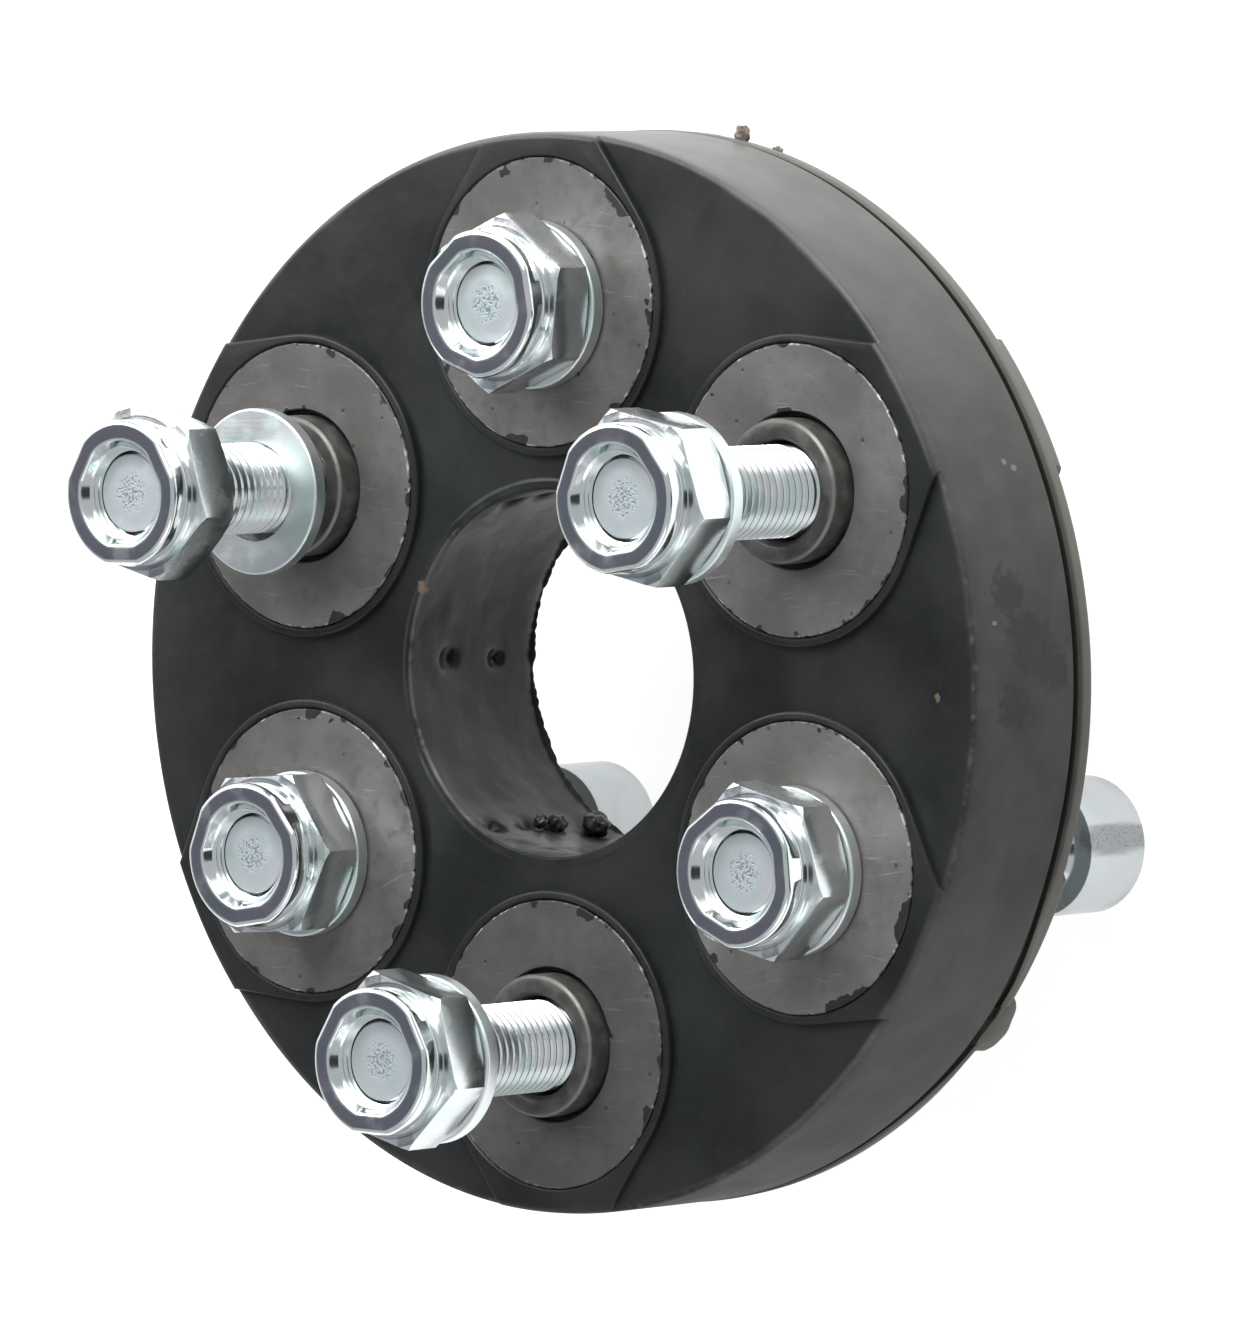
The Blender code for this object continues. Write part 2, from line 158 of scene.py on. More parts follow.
def minus(tree, first, second):
    return math_node(tree, "SUBTRACT", first, second)


def distance_from(tree, value, mark):
    return math_node(tree, "ABSOLUTE", minus(tree, value, mark))


def object_place(tree):
    return add_node(tree, "ShaderNodeTexCoord").outputs["Object"]


def noise_value(tree, place, scale, detail):
    inputs = {"Vector": place, "Scale": scale, "Detail": detail}
    return add_node(tree, "ShaderNodeTexNoise", inputs).outputs["Fac"]


def bumped(tree, height, strength, distance):
    """The normal of a surface whose relief is a height from 0 to 1 over a distance."""
    inputs = {"Height": height, "Strength": strength, "Distance": distance}
    return add_node(tree, "ShaderNodeBump", inputs).outputs["Normal"]


def new_material(name):
    material = bpy.data.materials.new(name)
    material.use_nodes = True
    tree = material.node_tree
    return material, tree, tree.nodes["Principled BSDF"]


def feed(tree, shader, **sockets):
    """Links or sets inputs of the Principled BSDF, named with underscores for spaces."""
    for name, value in sockets.items():
        socket = shader.inputs[name.replace("_", " ")]
        if isinstance(value, bpy.types.NodeSocket):
            tree.links.new(value, socket)
        else:
            socket.default_value = value


patches, source, result = new_group(
    "soft patches",
    {"Position": ("Vector", None), "Size mm": ("Float", 5.0), "From": ("Float", 0.4), "To": ("Float", 0.6)},
    ["Mask"],
)
scale = math_node(patches, "DIVIDE", 1000.0, source["Size mm"])
field = noise_value(patches, source["Position"], scale, 3.0)
patches.links.new(ramp(patches, field, source["From"], source["To"]), result["Mask"])


def patch_mask(tree, place, size, start, end):
    return use_group(tree, patches, {"Position": place, "Size mm": size, "From": start, "To": end})["Mask"]


spots, source, result = new_group(
    "ragged spot",
    {
        "Position": ("Vector", None),
        "Centre": ("Vector", None),
        "Size mm": ("Float", 5.0),
        "Raggedness mm": ("Float", 1.0),
    },
    ["Mask"],
)
reach = add_node(
    spots, "ShaderNodeVectorMath", {0: source["Position"], 1: source["Centre"]}, operation="DISTANCE"
).outputs["Value"]
field = noise_value(spots, source["Position"], 700.0, 3.0)
shift = minus(spots, field, 0.5)
shift = times(spots, shift, source["Raggedness mm"])
reach = times(spots, reach, 1000.0)
reach = plus(spots, reach, times(spots, shift, 4.0))
reach = math_node(spots, "DIVIDE", reach, source["Size mm"])
spots.links.new(ramp(spots, reach, 1.1, 0.6), result["Mask"])


def arc(centre, radius, start, end, steps):
    angles = [math.radians(start + (end - start) * step / steps) for step in range(steps + 1)]
    return [(centre[0] + radius * math.cos(a), centre[1] + radius * math.sin(a)) for a in angles]


def spun(profile, steps, closed=True):
    """A profile of (radius, height) points turned full circle round Z."""
    shape = bmesh.new()
    corners = [shape.verts.new((radius, 0, height)) for radius, height in profile]
    edges = [shape.edges.new(pair) for pair in zip(corners, corners[1:])]
    if closed:
        edges.append(shape.edges.new((corners[-1], corners[0])))
    turn = {"cent": (0, 0, 0), "axis": (0, 0, 1), "angle": 2 * math.pi, "steps": steps}
    bmesh.ops.spin(shape, geom=corners + edges, use_merge=True, **turn)
    bmesh.ops.remove_doubles(shape, verts=shape.verts, dist=0.0001 * MM)
    bmesh.ops.recalc_face_normals(shape, faces=shape.faces)
    return shape


def new_object(name, shape):
    mesh = bpy.data.meshes.new(name)
    shape.to_mesh(mesh)
    shape.free()
    item = bpy.data.objects.new(name, mesh)
    bpy.context.scene.collection.objects.link(item)
    return item


def combine(body, tool, operation):
    """Joins, cuts or intersects a body with a tool, which is used up."""
    step = body.modifiers.new("Combine", "BOOLEAN")
    step.operation = operation
    step.object = tool
    graph = bpy.context.evaluated_depsgraph_get()
    mesh = bpy.data.meshes.new_from_object(body.evaluated_get(graph))
    body.modifiers.clear()
    body.data = mesh
    bpy.data.objects.remove(tool)


def shade(mesh, angle=SMOOTH_BELOW):
    mesh.shade_smooth()
    mesh.set_sharp_from_angle(angle=angle)


def bump_noise(point, size, amount):
    return noise.noise(point / size) * amount


def station_place(station):
    low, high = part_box(f"sleeve_{station}")
    centre = (low + high) / 2
    return Vector((centre.x, centre.y, 0)), math.atan2(centre.y, centre.x)


def ring_profile():
    crease_top = CREASE_HEIGHT + CREASE_WIDTH / 2
    crease_low = CREASE_HEIGHT - CREASE_WIDTH / 2
    top = FRONT_FACE - RIM_EDGE
    band = [(RIM_RADIUS, top + (crease_top - top) * row / BAND_ROWS) for row in range(1, BAND_ROWS + 1)]
    floor = FRONT_FACE - HOLE_EDGE
    drop = REAR_FACE + HOLE_EDGE - floor
    wall = [(HOLE_RADIUS, floor + drop * row / WALL_ROWS) for row in range(WALL_ROWS, -1, -1)]
    return [
        *arc((RIM_RADIUS - RIM_EDGE, top), RIM_EDGE, 90, 0, 4),
        *band,
        (RIM_RADIUS - CREASE_DEPTH * 0.6, crease_top - CREASE_WIDTH * 0.2),
        (RIM_RADIUS - CREASE_DEPTH, CREASE_HEIGHT - CREASE_WIDTH * 0.1),
        (RIM_RADIUS - CREASE_DEPTH * 0.7, crease_low),
        (RIM_RADIUS - 0.1 * MM, crease_low - 0.2 * MM),
        (RIM_RADIUS + 0.1 * MM, crease_low - 0.6 * MM),
        *arc((RIM_RADIUS - LIP_EDGE, REAR_FACE + LIP_EDGE), LIP_EDGE, 0, -90, 5),
        (HOLE_RADIUS + HOLE_EDGE, REAR_FACE),
        *wall,
        (HOLE_RADIUS + HOLE_EDGE, FRONT_FACE),
    ]


def share_of(value, start, end):
    """How far a value has come from start to end, from 0 to 1."""
    return min(1, max(0, (value - start) / (end - start)))


def slump(angle):
    """How far the mould line has slumped at an angle, from 0 to 1."""
    turn = math.remainder(angle - SLUMP_ANGLE, 2 * math.pi)
    return math.exp(-((turn / SLUMP_SPREAD) ** 2))


# Each dent is given by its angle in degrees, its height under the front in millimetres, and its size.
WALL_DENTS = [(177, -8.8, 1.9), (178, -18.2, 1.4), (237, -4.6, 1.3), (238, -11.6, 1.5), (240, -14.4, 1.6)]
WALL_DENTS += [(245, -20.8, 2.6), (114, -5.0, 1.7), (110, -9.5, 1.4), (239, -9.4, 0.8)]
DENT_DEPTH = 1.2 * MM
DENT_FALL = 1.3
WALL_FADE = 2.0 * MM
CREASE_LOST = (math.radians(66), math.radians(84))
CREASE_BACK = (math.radians(140), math.radians(120))
CREASE_FILL = 0.8

ring_shape = spun(ring_profile(), RING_STEPS)
for vertex in ring_shape.verts:
    point = vertex.co.copy()
    flat = Vector((point.x, point.y, 0))
    radius = flat.length
    outward = flat / radius
    angle = math.atan2(point.y, point.x)
    if radius > RIM_RADIUS - 1.2 * MM and point.z < FRONT_FACE - RIM_EDGE:
        vertex.co += outward * bump_noise(point, 14 * MM, 0.05 * MM)
        sink = share_of(point.z, FRONT_FACE, CREASE_HEIGHT)
        if point.z < REAR_FACE + LIP_EDGE:
            sink = 0.2
        gape = SLUMP_GAPE if REAR_FACE + LIP_EDGE < point.z < CREASE_HEIGHT else 0
        vertex.co.z -= slump(angle) * (SLUMP_DROP * sink**3 + gape)
        filled = share_of(angle, *CREASE_LOST) * share_of(angle, *CREASE_BACK)
        if abs(point.z - CREASE_HEIGHT) < CREASE_WIDTH:
            vertex.co += outward * max(0, RIM_RADIUS - radius) * CREASE_FILL * filled
    if radius < HOLE_RADIUS + 0.1 * MM:
        push = bump_noise(point, 11 * MM, 0.45 * MM) + bump_noise(point, 3.5 * MM, 0.09 * MM)
        for dent_angle, dent_height, dent_size in WALL_DENTS:
            bearing = math.radians(dent_angle)
            heart = Vector((HOLE_RADIUS * math.cos(bearing), HOLE_RADIUS * math.sin(bearing), 0))
            heart.z = FRONT + dent_height * MM
            away = (point - heart).length / (dent_size * MM)
            push += DENT_DEPTH * math.exp(-(away**2) * DENT_FALL)
        from_edge = min(FRONT_FACE - point.z, point.z - REAR_FACE)
        vertex.co += outward * push * min(1, from_edge / WALL_FADE)
ring = new_object("rubber_ring", ring_shape)


def teardrop_shape(face, plane):
    """One boss at the origin that points along +X out past the rim, with its top edge rounded."""
    shape = bmesh.new()
    open_angle = 90 - math.degrees(BOSS_HALF_ANGLE)
    outline = arc((0, 0), BOSS_RADIUS, open_angle, 360 - open_angle, BOSS_ARC_STEPS)
    reach = RIM_RADIUS - station_place(1)[0].length + 2 * MM
    run = reach - outline[0][0]
    rise = run * math.tan(BOSS_HALF_ANGLE)
    outline += [(reach, outline[-1][1] + rise), (reach, outline[0][1] - rise)]
    root = face - math.copysign(BOSS_ROOT, plane - face)
    bottom = shape.faces.new([shape.verts.new((x, y, root)) for x, y in outline])
    grown = bmesh.ops.extrude_face_region(shape, geom=[bottom])["geom"]
    top = [item for item in grown if isinstance(item, bmesh.types.BMVert)]
    bmesh.ops.translate(shape, verts=top, vec=(0, 0, plane - root))
    bmesh.ops.recalc_face_normals(shape, faces=shape.faces)
    rim = [edge for edge in shape.edges if all(abs(v.co.z - plane) < 0.01 * MM for v in edge.verts)]
    bevel = {"offset": BOSS_EDGE, "segments": 3, "profile": 0.5, "affect": "EDGES", "material": -1}
    bmesh.ops.bevel(shape, geom=rim, clamp_overlap=True, **bevel)
    return shape


def add_shapes(shape, copy, places):
    """Adds a copy of a mesh to a bmesh at each place and turn."""
    for place, turn in places:
        before = len(shape.verts)
        shape.from_mesh(copy)
        shape.verts.ensure_lookup_table()
        matrix = Matrix.Translation(place) @ Matrix.Rotation(turn, 4, "Z")
        bmesh.ops.transform(shape, matrix=matrix, verts=shape.verts[before:])


def boss_trim(face, plane):
    """A turned ring whose outer edge rolls over in a small shoulder, to trim the bosses to the rim."""
    outward = math.copysign(1, plane - face)
    root = face - outward * (BOSS_ROOT + 1 * MM)
    above = plane + outward * MM
    outer = RIM_RADIUS - SHOULDER_INSET
    rise = BOSS_RISE + 0.3 * MM
    quarter = [math.radians(angle) for angle in (90, 72, 54, 36, 18, 0)]
    rolled = [
        (outer - SHOULDER * (1 - math.cos(a)), plane - outward * rise * (1 - math.sin(a))) for a in quarter
    ]
    inner = 15 * MM
    outline = [(outer - SHOULDER, above), *rolled, (outer, root), (inner, root), (inner, above)]
    return spun(outline, RING_STEPS)


places = [station_place(station) for station in STATIONS]
for side, face, plane in (("front", FRONT_FACE, FRONT), ("rear", REAR_FACE, REAR)):
    one = new_object("boss", teardrop_shape(face, plane))
    bosses_shape = bmesh.new()
    add_shapes(bosses_shape, one.data, places)
    bpy.data.objects.remove(one)
    bosses = new_object(f"{side}_bosses", bosses_shape)
    combine(bosses, new_object("boss_trim", boss_trim(face, plane)), "INTERSECT")
    combine(ring, bosses, "UNION")

plate_low, plate_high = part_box("front_plate_1")
PLATE_RADIUS = (plate_high.x - plate_low.x) / 2
PLATE_THICKNESS = plate_high.z - plate_low.z
sleeve_low, sleeve_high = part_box("sleeve_1")
SLEEVE_RADIUS = (sleeve_high.x - sleeve_low.x) / 2
BED_GAP = 0.12 * MM
BED_FLARE = 0.25 * MM
bed = PLATE_RADIUS + BED_GAP
bore = SLEEVE_RADIUS + BED_GAP
step_in = PLATE_THICKNESS + BED_GAP
half_bore = [(bed + BED_FLARE, FRONT), (bed, FRONT - BED_FLARE)]
half_bore += [(bed, FRONT - step_in), (bore, FRONT - step_in)]
bore_profile = [(0, FRONT + 2 * MM), (bed + BED_FLARE, FRONT + 2 * MM), *half_bore]
bore_profile += [(radius, FRONT + REAR - height) for radius, height in reversed(half_bore)]
bore_profile += [(bed + BED_FLARE, REAR - 2 * MM), (0, REAR - 2 * MM)]
one = new_object("bore", spun(bore_profile, BORE_STEPS, closed=False))
bores_shape = bmesh.new()
add_shapes(bores_shape, one.data, places)
bpy.data.objects.remove(one)
combine(ring, new_object("bores", bores_shape), "DIFFERENCE")
shade(ring.data)

rubber, tree, shader = new_material("moulded rubber")
FACE_BLACK = (0.0105, 0.0120, 0.0130)
FACE_WORN = (0.0200, 0.0218, 0.0215)
BAND_GREY = (0.014, 0.016, 0.0135)
# The band's lighter colour is dust and painted light together.
BAND_DUST_AND_LIGHT = (0.140, 0.142, 0.133)
EDGE_DUST_AND_HIGHLIGHT = (0.120, 0.120, 0.114)
LIP_DUST = (0.170, 0.163, 0.142)
# The crease colour is painted shade.
PAINTED_CREASE_SHADE = (0.016, 0.013, 0.010)
WALL_DULL = (0.034, 0.037, 0.031)
SMUDGE_BLACK = (0.006, 0.006, 0.006)
# The dents' colour is painted shade.
PAINTED_DENT_SHADE = (0.004, 0.004, 0.004)
SCUFF_AND_HIGHLIGHT_GREY = (0.24, 0.24, 0.23)
CLAY_BROWN = (0.17, 0.12, 0.08)
place = object_place(tree)
axes = add_node(tree, "ShaderNodeSeparateXYZ", {0: place}).outputs
across = add_node(tree, "ShaderNodeCombineXYZ", {"X": axes["X"], "Y": axes["Y"]}).outputs[0]
radius = add_node(tree, "ShaderNodeVectorMath", {0: across}, operation="LENGTH").outputs["Value"]
cloud = patch_mask(tree, place, 20.0, 0.35, 0.7)
grain = patch_mask(tree, place, 1.2, 0.45, 0.8)
wander = times(tree, cloud, 0.5 * MM)
rim_reach = plus(tree, radius, wander)
side = ramp(tree, rim_reach, RIM_RADIUS - 0.9 * MM, RIM_RADIUS + 0.1 * MM)
colour = mix_colour(tree, cloud, FACE_BLACK, FACE_WORN)
# Dust and painted light on the band: it is painted lighter towards +Y, where light fell from above, over
# random dusty patches.
dust_and_painted_light = ramp(tree, axes["Y"], -5 * MM, 92 * MM)
soot = patch_mask(tree, place, 6.0, 0.35, 0.7)
dust_and_painted_light = plus(tree, dust_and_painted_light, times(tree, soot, 0.14))
# Painted light: the band is also painted lighter between about 15 and 68 mm below the axis.
painted_low_light = ramp(tree, axes["Y"], -15 * MM, -45 * MM)
painted_low_light = times(tree, painted_low_light, ramp(tree, axes["Y"], -68 * MM, -56 * MM))
dust_and_painted_light = plus(tree, dust_and_painted_light, times(tree, painted_low_light, 0.42))
dust_and_painted_light = plus(tree, dust_and_painted_light, times(tree, cloud, 0.06), clamp=True)
colour = mix_colour(tree, side, colour, mix_colour(tree, dust_and_painted_light, BAND_GREY, BAND_DUST_AND_LIGHT))
# The dusty lip is also painted lighter towards +Y, as painted light.
lip = ramp(tree, axes["Z"], CREASE_HEIGHT - 0.9 * MM, CREASE_HEIGHT - 1.9 * MM)
lip = times(tree, lip, side)
colour = mix_colour(tree, times(tree, lip, plus(tree, dust_and_painted_light, 0.55)), colour, LIP_DUST)
# Dust and a painted highlight: a speckled light line is painted along the rounded front edge of the rim.
below = distance_from(tree, axes["Z"], FRONT_FACE - 0.35 * MM)
inward = distance_from(tree, radius, RIM_RADIUS - 0.35 * MM)
edge_reach = plus(tree, below, inward)
edge_dust_and_highlight = times(tree, ramp(tree, edge_reach, 0.7 * MM, 0.3 * MM), grain)
colour = mix_colour(tree, times(tree, edge_dust_and_highlight, 0.6), colour, EDGE_DUST_AND_HIGHLIGHT)
wall = ramp(tree, radius, HOLE_RADIUS + 1.6 * MM, HOLE_RADIUS + 1.0 * MM)
# Dust and a painted highlight: a light ragged line is painted along the left of the hole's front edge.
brink_dust_and_highlight = distance_from(tree, radius, HOLE_RADIUS + 0.3 * MM)
brink_dust_and_highlight = times(tree, ramp(tree, brink_dust_and_highlight, 0.35 * MM, 0.1 * MM), ramp(tree, axes["X"], -8 * MM, -20 * MM))
brink_dust_and_highlight = times(tree, brink_dust_and_highlight, ramp(tree, axes["Z"], FRONT - 2.2 * MM, FRONT - 1.4 * MM))
brink_dust_and_highlight = times(tree, brink_dust_and_highlight, math_node(tree, "MAXIMUM", grain, soot))
colour = mix_colour(tree, times(tree, brink_dust_and_highlight, 0.6), colour, SCUFF_AND_HIGHLIGHT_GREY)
colour = mix_colour(tree, times(tree, times(tree, wall, soot), 0.6), colour, WALL_DULL)
# Painted shade: the band is painted dark inside the crease, where shade falls.
crease_shade = distance_from(tree, axes["Z"], CREASE_HEIGHT - 1.2 * MM)
crease_shade = times(tree, ramp(tree, crease_shade, 2.6 * MM, 1.6 * MM), side)
crease_shade = times(tree, crease_shade, ramp(tree, radius, RIM_RADIUS - 0.15 * MM, RIM_RADIUS - 0.4 * MM))
crease_shade = math_node(tree, "MINIMUM", times(tree, crease_shade, 6.0), 1.0)
colour = mix_colour(tree, crease_shade, colour, PAINTED_CREASE_SHADE)
colour = mix_colour(tree, times(tree, grain, 0.02), colour, SCUFF_AND_HIGHLIGHT_GREY)


def rim_point(angle, height, radius=RIM_RADIUS):
    bearing = math.radians(angle)
    return radius * math.cos(bearing), radius * math.sin(bearing), FRONT + height * MM


# Each mark is given by its angle in degrees, its height under the front, and its size in millimetres.
SMUDGES = [(9, -9.0, 3.6), (4, -12.5, 4.6), (-3, -9.0, 3.4), (1, -17.0, 3.4)]
SPECKS = [(-1.9, -1, 64.0 * MM, 0.85), (-48.1, -1, 58.3 * MM, 0.55), (153.3, -1.2, 24.3 * MM, 0.75)]
SCUFFS = [(23, -14.6, 0.5), (22.3, -16.0, 0.4), (24.2, -13.4, 0.35), (6, -5.5, 0.3)]
marks = [(rim_point(angle, height), size, 1.6, SMUDGE_BLACK, 0.75) for angle, height, size in SMUDGES]
marks += [(rim_point(*spot), size, 0.8, CLAY_BROWN, 0.9) for *spot, size in SPECKS]
marks += [(rim_point(angle, height), size, 0.5, SCUFF_AND_HIGHLIGHT_GREY, 0.7) for angle, height, size in SCUFFS]
# Painted shade: the wall's dents are painted near black in their hollows.
DENT_HEART = HOLE_RADIUS + 0.6 * MM
marks += [(rim_point(a, h, DENT_HEART), size * 0.9, 0.6, PAINTED_DENT_SHADE, 0.85) for a, h, size in WALL_DENTS]
for centre, size, raggedness, tint, strength in marks:
    inputs = {"Position": place, "Centre": centre, "Size mm": size, "Raggedness mm": raggedness}
    mark = use_group(tree, spots, inputs)["Mask"]
    colour = mix_colour(tree, times(tree, mark, strength), colour, tint)
waves = noise_value(tree, place, 150.0, 2.0)
relief = plus(tree, waves, times(tree, grain, 0.02))
relief = times(tree, relief, plus(tree, 1.0, times(tree, wall, 2.5)))
bump = bumped(tree, relief, 0.35, 0.4 * MM)
roughness = ramp(tree, cloud, 0.0, 1.0, 0.36, 0.48)
roughness = minus(tree, roughness, times(tree, wall, 0.10))
clean = times(tree, side, ramp(tree, axes["Y"], 20 * MM, -60 * MM))
roughness = plus(tree, roughness, times(tree, clean, 0.25))
feed(tree, shader, Base_Color=colour, Roughness=roughness, Normal=bump)
feed(tree, shader, Specular_IOR_Level=0.3)
ring.data.materials.clear()
ring.data.materials.append(rubber)
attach(ring, "root")
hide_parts("rubber_body")

# Torn flash. Where the mould halves met, thin ragged rubber stands out: along the rear edge of the centre
# hole, as soft nubs inside it and at the lower right of the rear edge, and as two brown crumbs on the lip.
FLASH_THICKNESS = 0.35 * MM
FLASH_REACH = 0.75 * MM
FLASH_STEPS = 720
FLASH_SCALLOPS = 50
flash_profile = [
    (HOLE_RADIUS + 0.4 * MM, REAR_FACE + 0.7 * MM),
    (HOLE_RADIUS - FLASH_REACH, REAR_FACE + 0.45 * MM),
    (HOLE_RADIUS - FLASH_REACH, REAR_FACE + 0.45 * MM - FLASH_THICKNESS * 0.4),
    (HOLE_RADIUS + 0.4 * MM, REAR_FACE + 0.1 * MM),
]
flash_shape = spun(flash_profile, FLASH_STEPS)
for vertex in flash_shape.verts:
    flat = Vector((vertex.co.x, vertex.co.y, 0))
    if flat.length < HOLE_RADIUS - 0.1 * MM:
        wave = FLASH_SCALLOPS * math.atan2(flat.y, flat.x) + 2.5 * noise.noise(flat / (4 * MM))
        ragged = 0.45 + 0.2 * abs(math.sin(wave)) + 0.7 * noise.noise(flat / (4 * MM))
        ragged += 0.35 * noise.noise(flat / (1.3 * MM))
        vertex.co += flat.normalized() * FLASH_REACH * (1 - max(0.05, min(1.2, ragged)))
flash = new_object("hole_flash", flash_shape)
shade(flash.data)
flash.data.materials.append(rubber)

# Each nub has its name, angle, height under the front, distance from the axis, half sizes and raggedness.
NUBS = [
    ("slump_nub", -41.0, -26.4, 68.4, (2.4, 4.8, 2.9), 0.15),
    ("hole_nub_rear", 245.0, -21.2, 22.9, (1.6, 1.8, 1.9), 0.35),
    ("hole_nub_middle", 241.0, -15.2, 23.2, (1.1, 1.3, 1.3), 0.45),
    ("hole_nub_small", 239.0, -12.8, 23.4, (0.9, 0.9, 0.9), 0.4),
    ("rim_crumb_large", 78.9, -24.9, 70.6, (1.3, 1.0, 0.8), 0.45),
    ("rim_crumb_small", 74.0, -25.2, 69.9, (0.5, 0.8, 0.45), 0.4),
]
nubs = []
for name, angle, height, radius, size, raggedness in NUBS:
    nub_shape = bmesh.new()
    bmesh.ops.create_icosphere(nub_shape, subdivisions=4, radius=1.0)
    for vertex in nub_shape.verts:
        lump = noise.noise(vertex.co * 1.7 + Vector((angle, 0, 0)))
        vertex.co *= 1 + raggedness * lump
        vertex.co = Vector((vertex.co.x * size[0], vertex.co.y * size[1], vertex.co.z * size[2])) * MM
    matrix = Matrix.Translation(rim_point(angle, height, radius * MM))
    matrix @= Matrix.Rotation(math.radians(angle), 4, "Z")
    bmesh.ops.transform(nub_shape, matrix=matrix, verts=nub_shape.verts)
    nub = new_object(name, nub_shape)
    shade(nub.data)
    nubs.append(nub)
    nub.data.materials.append(rubber)

crumb, tree, shader = new_material("torn flash")
place = object_place(tree)
cloud = patch_mask(tree, place, 0.8, 0.35, 0.65)
colour = mix_colour(tree, cloud, (0.10, 0.085, 0.07), (0.27, 0.22, 0.17))
feed(tree, shader, Base_Color=colour, Roughness=0.8)
for nub in nubs[-2:]:
    nub.data.materials[0] = crumb
for piece in (flash, *nubs):
    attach(piece, "root")

# Cord packs. Each is polyester cord wound round two neighbouring sleeves and soaked in rubber. They are
# sealed inside the ring, so the CAD solids stay, with the finish of dipped cord.
cord, tree, shader = new_material("dipped cord")
place = object_place(tree)
turns = add_node(tree, "ShaderNodeTexWave", {"Vector": place, "Scale": 260.0, "Distortion": 0.6})
turns.bands_direction = "Z"
cloud = patch_mask(tree, place, 3.0, 0.35, 0.7)
colour = mix_colour(tree, turns.outputs["Fac"], (0.16, 0.13, 0.09), (0.46, 0.40, 0.30))
colour = mix_colour(tree, times(tree, cloud, 0.5), colour, (0.05, 0.045, 0.04))
bump = bumped(tree, turns.outputs["Fac"], 0.6, 0.3 * MM)
feed(tree, shader, Base_Color=colour, Roughness=0.85, Normal=bump)
for name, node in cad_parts.items():
    if name.startswith("cord_pack"):
        for material_slot in node.material_slots:
            material_slot.material = cord

# Steel sleeves. Each is turned from tube and phosphated dark, with both ends chamfered. It is flush with
# one face of the ring and stands 3 mm out of the other, to centre the flange arm that seats there.
SLEEVE_BORE = 6.56 * MM
SLEEVE_CHAMFER = 0.5 * MM
SLEEVE_MOUTH = 0.55 * MM
SOFTENED = 0.08 * MM


def softened(profile, edge=SOFTENED):
    """A closed profile with each corner cut back a little, so that edges catch the light."""
    points = [Vector(point) for point in profile]
    cut = []
    for index, corner in enumerate(points):
        before, after = points[index - 1], points[(index + 1) % len(points)]
        for other in (before, after):
            run = other - corner
            cut.append(tuple(corner + run.normalized() * min(edge, run.length / 3)))
    return cut


def placed(name, shape, place, turn, material, node):
    """A piece built about its own axis, set on its station to stand for a CAD node. It keeps each
    point's place about its own axis, in millimetres, as the attribute local."""
    piece = new_object(name, shape)
    mesh = piece.data
    local = mesh.attributes.new("local", "FLOAT_VECTOR", "POINT")
    local.data.foreach_set("vector", [length / MM for vertex in mesh.vertices for length in vertex.co])
    mesh.transform(Matrix.Translation(place) @ Matrix.Rotation(turn, 4, "Z"))
    shade(mesh)
    mesh.materials.append(material)
    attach(piece, "root")
    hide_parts(node)
    return piece


def local_place(tree):
    """A point's distance from its piece's own axis and its height along it, in millimetres."""
    local = add_node(tree, "ShaderNodeAttribute", attribute_name="local").outputs["Vector"]
    axes = add_node(tree, "ShaderNodeSeparateXYZ", {0: local}).outputs
    across = add_node(tree, "ShaderNodeCombineXYZ", {"X": axes["X"], "Y": axes["Y"]}).outputs[0]
    return add_node(tree, "ShaderNodeVectorMath", {0: across}, operation="LENGTH").outputs["Value"], axes["Z"]


sleeve_steel, tree, shader = new_material("dark sleeve steel")
place = object_place(tree)
radius = local_place(tree)[0]
cloud = patch_mask(tree, place, 2.2, 0.35, 0.7)
colour = mix_colour(tree, cloud, (0.085, 0.085, 0.080), (0.130, 0.128, 0.120))
chamfer_ring = ramp(tree, radius, 8.85, 9.0)
outer_wall = ramp(tree, radius, 9.18, 9.24)
bare = times(tree, chamfer_ring, minus(tree, 1.0, outer_wall))
colour = mix_colour(tree, times(tree, bare, 0.6), colour, (0.25, 0.245, 0.23))
bump = bumped(tree, noise_value(tree, place, 1600.0, 4.0), 0.3, 0.1 * MM)
roughness = ramp(tree, cloud, 0.0, 1.0, 0.38, 0.52)
feed(tree, shader, Base_Color=colour, Roughness=roughness, Metallic=0.55, Normal=bump)
for station in STATIONS:
    low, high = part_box(f"sleeve_{station}")
    length = high.z - low.z
    inner = SLEEVE_BORE + SLEEVE_MOUTH
    sleeve_profile = [
        (inner, length),
        (SLEEVE_RADIUS - SLEEVE_CHAMFER, length),
        (SLEEVE_RADIUS, length - SLEEVE_CHAMFER),
        (SLEEVE_RADIUS, SLEEVE_CHAMFER),
        (SLEEVE_RADIUS - SLEEVE_CHAMFER, 0),
        (inner, 0),
        (SLEEVE_BORE, SLEEVE_MOUTH),
        (SLEEVE_BORE, length - SLEEVE_MOUTH),
    ]
    place, turn = station_place(station)
    place.z = low.z
    shape = spun(softened(sleeve_profile), BORE_STEPS)
    placed(f"steel_sleeve_{station}", shape, place, turn, sleeve_steel, f"sleeve_{station}")

